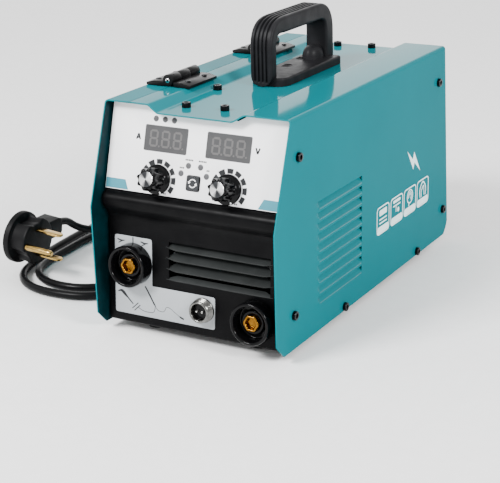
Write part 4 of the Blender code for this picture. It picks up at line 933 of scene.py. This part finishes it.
def make_handle(settings):
    """Arched handle whose depth changes along the arch, on a base plate with a boss and two screw wells.

    Four grooves follow a cosine across its outer side. The front foot is cut to a tongue: its half
    width is r sqrt(1 - (1 - h / r)^2) at a height h below r.
    """
    half_width, shoulder, half_depth = 10.75, 8.2, 5.0
    outer = np.column_stack([np.linspace(shoulder, -shoulder, 78), np.full(78, half_depth)])
    corner = half_width - shoulder
    left = ring((-shoulder, half_depth - corner), corner, 7, 90.0, 180.0)
    foot_left = ring((-shoulder, corner - half_depth), corner, 7, 180.0, 270.0)
    foot_right = ring((shoulder, corner - half_depth), corner, 7, 270.0, 360.0)
    right = ring((shoulder, half_depth - corner), corner, 7, 0.0, 90.0)
    outline = np.vstack([outer, left[1:], foot_left, foot_right, right[:-1]])
    line = eased([(-33.2, 190.6), (-33.6, 240.6), (74.2, 240.6), (74.6, 190.6)],
                 (settings.front_corner / MM, settings.rear_corner / MM), 14)
    path, along = spaced(line, 0.9)
    ahead = np.gradient(path, axis=0)
    ahead /= np.linalg.norm(ahead, axis=1)[:, None]
    depth = np.interp(along, [0.0, 42.0, 66.0, 140.0, 165.0, along[-1]], [10.0, 10.6, 14.4, 14.6, 15.2, 15.6])
    section = np.broadcast_to(outline, (len(path),) + outline.shape).copy()
    section[..., 1] += np.sign(section[..., 1]) * (depth[:, None] / 2 - half_depth)
    risen = np.clip(along / half_width, 0.0, 1.0)
    half = half_width * np.sqrt(np.clip(1 - (1 - risen) ** 2, 1e-6, 1.0))[:, None]
    section[..., 0] = np.clip(section[..., 0], -half, half)
    pitch = 3.75
    wave = 0.5 - 0.5 * np.cos(2 * math.pi * section[..., 0] / pitch)
    cut = smooth_rise((wave - 0.22) / 0.4) * (np.abs(section[..., 0]) < 2 * pitch)
    cut *= smooth_rise((half - np.abs(section[..., 0]) - 1.6) / 1.2)
    cut *= smooth_rise((along[:, None] - 2.6) / 2.0) * smooth_rise((138.0 - along[:, None]) / 6.0)
    cut *= section[..., 1] > depth[:, None] / 2 - 0.01
    section[..., 1] -= settings.groove_depth / MM * cut
    world = np.column_stack([np.full(len(path), HANDLE_MIDDLE), path])
    out = np.column_stack([np.zeros(len(path)), -ahead[:, 1], ahead[:, 0]])
    arch = carried(section, world, (1.0, 0.0, 0.0), out)
    base = eased([(-18.0, -33.4), (17.8, -33.4), (17.8, 79.8), (-18.0, 79.8)], (14.0, 13.0, 4.0, 4.0), 10,
                 closed=True)
    angle = np.linspace(0.0, math.pi / 2, 9)
    dome = np.column_stack([9.4 * np.cos(angle) ** 0.6, 198.0 + 11.0 * np.sin(angle)])
    stretched = functools.partial(on_plane, (HANDLE_MIDDLE, 60.5, 0.0), (0.98, 0, 0), (0, 1.28, 0), (0, 0, 1))
    boss = turned(np.vstack([[(9.8, 196.0)], dome]), stretched, (0.0, 0.0), 40)
    nylon = moulded_plastic("dark_grey_glass_filled_nylon", "161618", "1E1E20", 0.42, 0.7, 0.03)
    make_piece("carry_handle_arch", [arch, plate(base, 190.4, 197.6, LEVEL, 1.8, 6), boss], nylon,
               stands_for=["carry_handle"], smooth=38.0)
    wells, rims = [], []
    for spot in ((-7.0, 19.0), (-10.0, 53.0)):
        rim = box_outline(spot, (8.6, 11.4), 4.2, 8)
        wells.append(plate(inset(rim, 0.8), 197.4, 197.66, LEVEL, 0.02, 2))
        rims.append(band(rim, inset(rim, 0.8), 197.0, 197.9, LEVEL))
    make_piece("handle_screw_wells", wells, moulded_plastic("nylon_in_deep_shade", "030303", "050505", 0.8))
    make_piece("handle_screw_rims", rims, nylon)


# Marks on the right-hand side.

def make_side_marks():
    """Four framed badges with plain pictograms, and a plain spark sign above them."""
    def disc(centre, radius):
        return plate(ring(centre, radius, 24), 0.0, INK, RIGHT_SIDE, 0.02, 2)

    def bar(points, width):
        return stroke(points, width, 0.0, INK, RIGHT_SIDE)

    def block(centre, size, radius):
        return plate(box_outline(centre, size, radius), 0.0, INK, RIGHT_SIDE, 0.02, 2)

    shapes = []
    for first, last in ((9.8, 37.0), (39.8, 67.7), (69.9, 98.4), (100.6, 128.9)):
        middle, size = ((first + last) / 2, 65.6), np.array([last - first, 26.0])
        shapes.append(band(box_outline(middle, size, 5.0, 7), box_outline(middle, size - 2.4, 3.9, 7),
                           0.0, INK, RIGHT_SIDE))
        shapes.append(block((middle[0], 57.0), (size[0] - 3.4, 6.0), 2.4))
    chip, coil, power, heat = 23.4, 53.75, 84.15, 114.75
    shapes += [block((chip, 72.5), (16.0, 5.4), 1.2), bar([(chip - 8.0, 66.4), (chip + 8.0, 66.4)], 1.3),
               bar([(chip - 8.0, 63.0), (chip + 8.0, 63.0)], 1.3)]
    shapes += [block((coil, 74.2), (16.0, 2.8), 1.0), bar([(coil - 8.0, 70.2), (coil + 8.0, 70.2)], 1.3),
               bar([(coil - 1.5, 70.2), (coil - 1.5, 64.0)], 1.3), disc((coil + 3.4, 65.0), 2.2)]
    shapes.append(band(ring((power, 69.6), 6.9, 36), ring((power, 69.6), 5.7, 36), 0.0, INK, RIGHT_SIDE))
    shapes += [bar(ring((power, 69.6), radius, 16, -60.0, 200.0), 0.9) for radius in (4.2, 2.4)]
    shapes.append(bar([(power - 2.5, 63.0), (power - 2.5, 60.6)], 1.6))
    flame = [(heat - 6.0, 61.4), (heat - 8.0, 69.0), (heat, 77.5), (heat + 8.0, 69.0), (heat + 6.0, 61.4)]
    core = [(heat - 3.0, 61.4), (heat - 4.0, 67.0), (heat + 2.5, 72.5), (heat + 3.4, 61.8)]
    shapes += [bar(eased(flame, 6.0, 8), 1.4), bar(eased(core, 3.0, 7), 1.2)]
    white = ink("white_side_ink", "DCEEEF", "D0E6E8")
    make_piece("side_badges", shapes, white)
    spark = np.array([(4.0, 14.0), (-5.5, -1.5), (-0.6, -1.5), (-4.0, -14.0), (6.0, 2.2), (0.8, 2.2)])
    across, up = SPARK_SCALE * math.cos(SPARK_TURN), SPARK_SCALE * math.sin(SPARK_TURN)
    outline = eased(spark @ [[across, up], [-up, across]] + SPARK_PLACE, 0.5, 3, closed=True)
    sign = plate(outline, 0.0, INK, RIGHT_SIDE, 0.02, 2)
    make_piece("spark_sign", [sign], white)


# Mains cord and plug.

def cord_line():
    """Catmull-Rom curve through the route's points, in even steps of about 5 mm, never below the floor line.

    From point B to point C, with A before them and D after them, it is
    B + ((C - A) t + (2A - 5B + 4C - D) t^2 + (3(B - C) + D - A) t^3) / 2.
    """
    route = np.asarray(CORD_ROUTE, float)
    route = np.vstack([2 * route[0] - route[1], route, 2 * route[-1] - route[-2]])
    steps = 24
    t = (np.arange(steps) / steps)[None, :, None]
    before, first, second, after = (route[start:len(route) - 3 + start, None] for start in range(4))
    bend = 2 * before - 5 * first + 4 * second - after
    twist = 3 * (first - second) + after - before
    curve = first + ((second - before) * t + bend * t ** 2 + twist * t ** 3) / 2
    curve = np.vstack([curve.reshape(-1, 3), route[-2]])
    curve[:, 2] = np.maximum(curve[:, 2], FLOOR_LINE)
    return spaced(curve, 5.0)


def make_cord(settings):
    """Mains cord as one bevelled curve that ends in its moulded plug."""
    points, along = cord_line()
    data = bpy.data.curves.new("mains_cord", "CURVE")
    data.dimensions = "3D"
    data.bevel_depth = settings.cord_diameter / 2
    data.bevel_resolution = 5
    data.use_fill_caps = True
    line = data.splines.new("POLY")
    line.points.add(len(points) - 1)
    line.points.foreach_set("co", np.column_stack([points * MM, np.ones(len(points))]).ravel())
    line.use_smooth = True
    cord = bpy.data.objects.new("mains_cord", data)
    bpy.context.scene.collection.objects.link(cord)
    data.materials.append(moulded_plastic("black_pvc_jacket", "0B0B0C", "101011", 0.3, 3.0, 0.008))
    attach(cord, "case")
    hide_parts("power_cord")
    make_plug()


def make_plug():
    """Moulded plug: a body with two hollows, its flange, a housing with the cord's relief, and pins.

    In front of the flange, and away from the housing, the radius at angle a is r (1 - 0.2 s), where s
    rises smoothly from 0 to 1 as the cosine of three times the angle from a hollow goes from 0.1 to 0.85.
    """
    angle = np.linspace(0.0, 2 * math.pi, 120, endpoint=False)
    profile = np.array([(0.0, -24.0), (23.4, -23.6), (24.7, -22.6), (24.8, -18.4), (24.4, -17.2),
                        (22.0, -16.6), (20.8, -15.6), (21.0, -8.0), (22.2, -2.4), (22.2, -1.0),
                        (21.8, -0.25), (21.0, 0.0), (0.0, 0.0)])
    radius, height = profile[:, :1], profile[:, 1:]
    between = smooth_rise((height + 17.4) / 1.6) * (radius > 1.0)
    between = between * (np.cos(angle - 5.87) < 0.5)
    radius = radius * (1 - 0.2 * between * smooth_rise((np.cos(3 * (angle - 1.68)) - 0.1) / 0.75))
    height = np.broadcast_to(height, radius.shape)
    body = surface(PLUG(np.stack([radius * np.cos(angle), radius * np.sin(angle), height], axis=-1)))
    housing = plate(box_outline((24.0, 4.0), (30.0, 18.0), 6.0, 8), -19.0, -0.5, PLUG, 1.2)
    across, up, forward = (PLUG(axis) - PLUG((0, 0, 0)) for axis in np.eye(3))
    places = np.linspace(8.0, 51.8, 60)
    swell = np.interp(places, [8.0, 24.0, 34.0, 50.0, 51.8], [6.2, 6.2, 6.2, 5.6, 4.9])
    ribs = 1 - 0.1 * smooth_rise(np.sin(places * 2 * math.pi / 4.4) * 2) * (places > 34.0)
    path = PLUG(np.column_stack([places, np.zeros(60), np.full(60, -15.0)]))
    sleeve = carried(ring((0, 0), 1.0, 28), path, forward, up, swell * ribs)
    made = [make_piece("mains_plug", [body, housing, sleeve], black_rubber(), stands_for=["power_plug"],
                       smooth=48.0)]
    for name, rise in (("plug_blade_upper", 12.0), ("plug_blade_lower", -12.0)):
        outline = eased([(-4.0, 0.05), (4.0, 0.05), (4.0, 24.8), (2.0, 27.0), (-2.0, 27.0), (-4.0, 24.8)],
                        (0.1, 0.1, 0.6, 0.6, 0.6, 0.6), 4, closed=True)
        upright = functools.partial(on_plane, PLUG((0, rise, 0)), across, forward, up)
        made.append(make_piece(name + "_brass", [plate(outline, -0.85, 0.85, upright, 0.3)], pale_brass(),
                               stands_for=[name]))
    pin = eased([(0.0, 29.0), (2.2, 29.0), (3.1, 26.4), (3.1, 0.05), (0.0, 0.05)], (0.8, 1.4, 0.1), 6)
    made.append(make_piece("plug_ground_pin_brass", [turned(pin, PLUG, (-18.0, 0.0), 36)], pale_brass(),
                           stands_for=["plug_ground_pin"]))
    return made


# Rear and wire bay.

def make_guard():
    """Fan guard of round wire: rings round the fan's axis, and four spokes that join them."""
    shapes = []
    wire, rings_at, spokes_at, first, last = 0.75, 152.5, 153.3, 9.0, 51.5
    for radius in GUARD_RINGS:
        circle = at_height(ring(FAN_CENTRE, radius, 72), rings_at)[:, [0, 2, 1]]
        shapes.append(tube(circle, wire, closed=True))
    for angle in np.radians(np.arange(45.0, 405.0, 90.0)):
        aim = np.array([math.cos(angle), math.sin(angle)])
        ends = [FAN_CENTRE + aim * radius for radius in (first, last)]
        spoke = np.array([(x, spokes_at, z) for x, z in np.linspace(ends[0], ends[1], 12)])
        shapes.append(tube(spoke, wire))
    make_piece("fan_guard_wires", shapes, plated_steel(), stands_for=["fan_guard"])


def make_winding():
    """Welding wire wound on its spool: the outer radius is R + t |cos(pi (x - middle) / pitch)|."""
    across = np.linspace(-71.4, -34.6, 200)
    radius, bulge, middle, pitch = 42.0, 0.7, -53.0, 2.3
    turns = radius + bulge * np.abs(np.cos(math.pi * (across - middle) / pitch))
    profile = np.vstack([[(24.6, -71.5)], np.column_stack([turns, across]), [(24.6, -34.5)]])
    winding = turned(profile, ALONG_X, SPOOL_CENTRE, 96)
    make_piece("wound_wire", [winding], bright_metal("copper_coated_steel", "C58A63", "A56C48", 0.26),
               body="spool", stands_for=["spool_wire"])


def make_hinge_fittings():
    """Bright ends of the hinge pins, and two low screw heads on each leaf."""
    ends = functools.partial(on_plane, (0.0, 0.0, 0.0), (1, 0, 0), (0, 0, 1), (0, -1, 0))
    pin_end = np.array([(2.0, 0.05), (2.0, 0.5), (1.5, 0.8), (0.0, 0.8)])
    shapes = [turned(np.column_stack([pin_end[:, 0], pin_end[:, 1] - start]), ends, (SEAM, HINGE_HEIGHT), 24)
              for start in HINGE_STARTS]
    make_piece("hinge_pin_ends", shapes, bright_metal("bright_pin", "F0F0F0", "D8D8D8", 0.25))
    angle = np.linspace(math.pi / 2, 0.0, 5)
    dome = np.column_stack([2.7 * np.cos(angle), 200.4 + 0.9 * np.sin(angle)])
    for body, x in (("case", SEAM + 14.5), ("door", SEAM - 14.5)):
        heads = [turned(dome, LEVEL, (x, start + along), 24)
                 for start in HINGE_STARTS for along in (9.0, 36.0)]
        make_piece(body + "_hinge_screws", heads, black_steel(), body=body)


def finish_nodes():
    """Gives every CAD node that is still shown its finish, and small bevels on its edges."""
    black = black_moulding()
    enamel_black = moulded_plastic("black_stoved_enamel", "121213", "161617", 0.4, 1.6, 0.01)
    plated, alloy = plated_steel(), bright_metal("die_cast_aluminium", "A9ABAD", "8E9092", 0.42, 0.9, 0.02)
    board = moulded_plastic("green_glass_epoxy", "1E5A34", "266B40", 0.3, 2.0, 0.02)
    finishes = {
        board: ("power_board", "display_board"),
        alloy: ("heat_sink", "pressure_arm", "feeder_plate"),
        plated: ("drive_roll", "pressure_roll", "spool_axle", "feeder_motor", "front_hinge_pin",
                 "rear_hinge_pin", "current_potentiometer", "voltage_potentiometer"),
        moulded_plastic("black_painted_hinge_steel", "0B0B0C", "101011", 0.3, 1.2, 0.004, 0.16): (
            "front_hinge_leaf", "rear_hinge_leaf", "front_door_leaf", "rear_door_leaf"),
        enamel_black: ("base_pan", "partition_wall", "rear_panel", "transformer"),
        black_rubber(): ("foot_front_left", "foot_front_right", "foot_rear_left", "foot_rear_right"),
        black: ("fan_frame", "fan_rotor", "switch_housing", "power_rocker", "cable_gland", "spool_nut",
                "tension_knob", "wire_spool"),
        moulded_plastic("grey_light_guide", "828282", "8A8A8A", 0.3, 2.0, 0.01): ("indicator_light_guide",)}
    for look, names in finishes.items():
        for name in names:
            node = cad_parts[name]
            node.data.materials.clear()
            node.data.materials.append(look)
            weld = node.modifiers.new("weld", "WELD")
            weld.merge_threshold = 1e-5
            flat = node.modifiers.new("flat_faces", "DECIMATE")
            flat.decimate_type = "DISSOLVE"
            flat.angle_limit = math.radians(1.0)
            edge = node.modifiers.new("edge", "BEVEL")
            edge.width = 0.35 * MM
            edge.segments = 2
            edge.limit_method = "ANGLE"
            edge.angle_limit = math.radians(35.0)
            edge.harden_normals = False
            node.data.polygons.foreach_set("use_smooth", np.ones(len(node.data.polygons), dtype=bool))
            node.data.set_sharp_from_angle(angle=math.radians(32.0))


# Stage.

def make_camera():
    """Camera from its place, its three angles and its lens."""
    azimuth, elevation, roll = (math.radians(angle) for angle in CAMERA_ANGLES)
    back = np.array([math.sin(azimuth) * math.cos(elevation), -math.cos(azimuth) * math.cos(elevation),
                     math.sin(elevation)])
    right = np.array([math.cos(azimuth), math.sin(azimuth), 0.0])
    up = np.cross(back, right)
    across = math.cos(roll) * right + math.sin(roll) * up
    upright = math.cos(roll) * up - math.sin(roll) * right
    data = bpy.data.cameras.new("camera")
    data.lens = CAMERA_LENS
    data.sensor_width = 36.0
    camera = bpy.data.objects.new("camera", data)
    turn = Matrix(np.column_stack([across, upright, back]).tolist()).to_4x4()
    camera.matrix_world = Matrix.Translation(CAMERA_PLACE) @ turn
    bpy.context.scene.collection.objects.link(camera)
    bpy.context.scene.camera = camera


def make_light(name, place, aim, size, power):
    """A square soft light that faces a point."""
    data = bpy.data.lights.new(name, "AREA")
    data.shape = "RECTANGLE"
    data.size, data.size_y = size
    data.energy = power
    light = bpy.data.objects.new(name, data)
    light.location = place
    light.rotation_euler = (Vector(aim) - Vector(place)).to_track_quat("-Z", "Y").to_euler()
    bpy.context.scene.collection.objects.link(light)


def make_stage(settings):
    """Pale floor, even surrounding light, and three soft lights."""
    mesh = bpy.data.meshes.new("floor")
    half, height = 4.0, -0.0006
    corners = [(-half, -half, height), (half, -half, height), (half, half, height), (-half, half, height)]
    mesh.from_pydata(corners, [], [(0, 1, 2, 3)])
    floor = bpy.data.objects.new("floor", mesh)
    bpy.context.scene.collection.objects.link(floor)
    mesh.materials.append(moulded_plastic("white_floor", "F4F4F4", "F1F1F1", 0.9, 40.0, 0.001))
    world = bpy.data.worlds.new("studio")
    bpy.context.scene.world = world
    world.use_nodes = True
    sky = world.node_tree.nodes["Background"]
    sky.inputs["Color"].default_value = (1.0, 1.0, 1.0, 1.0)
    sky.inputs["Strength"].default_value = settings.surround
    target = (0.0, 0.0, 0.1)
    make_light("key_light", (-0.9, -2.0, 1.9), target, (0.9, 0.7), settings.key)
    make_light("side_light", (2.2, -0.9, 1.5), target, (0.6, 0.5), settings.side)
    make_light("back_light", (-1.45, 2.5, 1.05), target, (3.2, 1.7), settings.back)


# Add-on.

class CaseSettings(bpy.types.PropertyGroup):
    enamel: bpy.props.FloatVectorProperty(
        name="Enamel", description="Colour of the sheet-metal case", subtype="COLOR", min=0.0, max=1.0,
        default=linear("00656D")[:3])
    sheet: bpy.props.FloatProperty(
        name="Sheet", description="Thickness of the sheet steel", unit="LENGTH", default=0.0012,
        min=0.0008, max=0.002)
    louvres: bpy.props.IntProperty(
        name="Louvres", description="Number of pressed louvres on the side", default=10, min=1, max=10)
    louvre_pitch: bpy.props.FloatProperty(
        name="Louvre pitch", description="Distance from one louvre to the next", unit="LENGTH",
        default=0.0091, min=0.0085, max=0.0095)
    louvre_depth: bpy.props.FloatProperty(
        name="Louvre depth", description="How far a louvre is pressed in at its top edge", unit="LENGTH",
        default=0.0044, min=0.001, max=0.005)


class ControlSettings(bpy.types.PropertyGroup):
    flutes: bpy.props.IntProperty(
        name="Flutes", description="Number of ridges round a knob's grip", default=8, min=4, max=12)
    pointer: bpy.props.FloatProperty(
        name="Pointer", description="Angle of the knobs' pointer line, in degrees from the right",
        default=-62.0, min=-90.0, max=210.0)


class HandleSettings(bpy.types.PropertyGroup):
    front_corner: bpy.props.FloatProperty(
        name="Front corner", description="How far the bend at the front reaches along the arch",
        unit="LENGTH", default=0.018, min=0.008, max=0.03)
    rear_corner: bpy.props.FloatProperty(
        name="Rear corner", description="How far the bend at the rear reaches along the arch",
        unit="LENGTH", default=0.02, min=0.008, max=0.03)
    groove_depth: bpy.props.FloatProperty(
        name="Groove depth", description="Depth of the grooves along the grip", unit="LENGTH",
        default=0.0018, min=0.0, max=0.003)


class CordSettings(bpy.types.PropertyGroup):
    cord_diameter: bpy.props.FloatProperty(
        name="Diameter", description="Outer diameter of the mains cord", unit="LENGTH", default=0.0075,
        min=0.006, max=0.008)


class StageSettings(bpy.types.PropertyGroup):
    surround: bpy.props.FloatProperty(
        name="Surround", description="Brightness of the even light from all sides", default=1.2, min=0.0,
        max=4.0)
    key: bpy.props.FloatProperty(
        name="Key", description="Power of the front light", subtype="POWER", unit="POWER", default=135.0,
        min=0.0, max=400.0)
    back: bpy.props.FloatProperty(
        name="Back", description="Power of the broad light behind, which the roof mirrors",
        subtype="POWER", unit="POWER", default=24.0, min=0.0, max=400.0)
    side: bpy.props.FloatProperty(
        name="Side", description="Power of the light at the right", subtype="POWER", unit="POWER",
        default=75.0, min=0.0, max=400.0)


class WELDER_OT_stage(bpy.types.Operator):
    """Makes the camera, the floor and the lights"""
    bl_idname = "welder.stage"
    bl_label = "Stage"

    def execute(self, context):
        make_camera()
        make_stage(context.scene.welder_stage)
        return {"FINISHED"}


class WELDER_OT_cord(bpy.types.Operator):
    """Makes the mains cord and its plug"""
    bl_idname = "welder.cord"
    bl_label = "Mains cord"

    def execute(self, context):
        make_cord(context.scene.welder_cord)
        return {"FINISHED"}


class WELDER_OT_case(bpy.types.Operator):
    """Makes the sheet-metal cover, the hinged door and their screws"""
    bl_idname = "welder.case"
    bl_label = "Case"

    def execute(self, context):
        make_cover(context.scene.welder_case)
        make_door(context.scene.welder_case)
        make_screws()
        return {"FINISHED"}


class WELDER_OT_front(bpy.types.Operator):
    """Makes the front moulding, its louvres, the printed film and the connection plate"""
    bl_idname = "welder.front"
    bl_label = "Front"

    def execute(self, context):
        make_moulding()
        make_front_louvres()
        make_film()
        make_connection_plate()
        return {"FINISHED"}


class WELDER_OT_controls(bpy.types.Operator):
    """Makes the displays, lights, knobs, mode button, unit letters and rows of dashes"""
    bl_idname = "welder.controls"
    bl_label = "Controls"

    def execute(self, context):
        make_displays()
        make_lights()
        make_knobs(context.scene.welder_controls)
        make_button()
        make_unit_letters()
        make_captions()
        return {"FINISHED"}


class WELDER_OT_sockets(bpy.types.Operator):
    """Makes the welding sockets and the control socket"""
    bl_idname = "welder.sockets"
    bl_label = "Sockets"

    def execute(self, context):
        make_sockets()
        return {"FINISHED"}


class WELDER_OT_handle(bpy.types.Operator):
    """Makes the carry handle"""
    bl_idname = "welder.handle"
    bl_label = "Carry handle"

    def execute(self, context):
        make_handle(context.scene.welder_handle)
        return {"FINISHED"}


class WELDER_OT_marks(bpy.types.Operator):
    """Makes the badges and the sign on the right-hand side"""
    bl_idname = "welder.marks"
    bl_label = "Side marks"

    def execute(self, context):
        make_side_marks()
        return {"FINISHED"}


class WELDER_OT_rear(bpy.types.Operator):
    """Makes the fan guard and the wound wire, and finishes the CAD parts that stay in view"""
    bl_idname = "welder.rear"
    bl_label = "Rear and inside"

    def execute(self, context):
        make_guard()
        make_winding()
        make_hinge_fittings()
        finish_nodes()
        return {"FINISHED"}


class WELDER_PT_panel(bpy.types.Panel):
    """Settings and buttons for the machine's pieces"""
    bl_label = "Welding machine"
    bl_idname = "WELDER_PT_panel"
    bl_space_type = "VIEW_3D"
    bl_region_type = "UI"
    bl_category = "Welder"

    def draw(self, context):
        for name, (_, operators) in GROUPS.items():
            box = self.layout.box()
            settings = getattr(context.scene, name)
            for key in settings.__annotations__:
                box.prop(settings, key)
            for operator in operators:
                box.operator(operator.bl_idname)


GROUPS = {
    "welder_stage": (StageSettings, (WELDER_OT_stage,)),
    "welder_cord": (CordSettings, (WELDER_OT_cord,)),
    "welder_case": (CaseSettings, (WELDER_OT_case, WELDER_OT_front, WELDER_OT_marks, WELDER_OT_rear)),
    "welder_controls": (ControlSettings, (WELDER_OT_controls, WELDER_OT_sockets)),
    "welder_handle": (HandleSettings, (WELDER_OT_handle,)),
}


def register():
    for name, (settings, operators) in GROUPS.items():
        bpy.utils.register_class(settings)
        setattr(bpy.types.Scene, name, bpy.props.PointerProperty(type=settings))
        for operator in operators:
            bpy.utils.register_class(operator)
    bpy.utils.register_class(WELDER_PT_panel)


def unregister():
    bpy.utils.unregister_class(WELDER_PT_panel)
    for name, (settings, operators) in reversed(GROUPS.items()):
        for operator in operators:
            bpy.utils.unregister_class(operator)
        delattr(bpy.types.Scene, name)
        bpy.utils.unregister_class(settings)


def main():
    register()
    bpy.ops.welder.stage()
    bpy.ops.welder.cord()
    bpy.ops.welder.case()
    bpy.ops.welder.front()
    bpy.ops.welder.controls()
    bpy.ops.welder.sockets()
    bpy.ops.welder.handle()
    bpy.ops.welder.marks()
    bpy.ops.welder.rear()


if __name__ == "__main__":
    main()
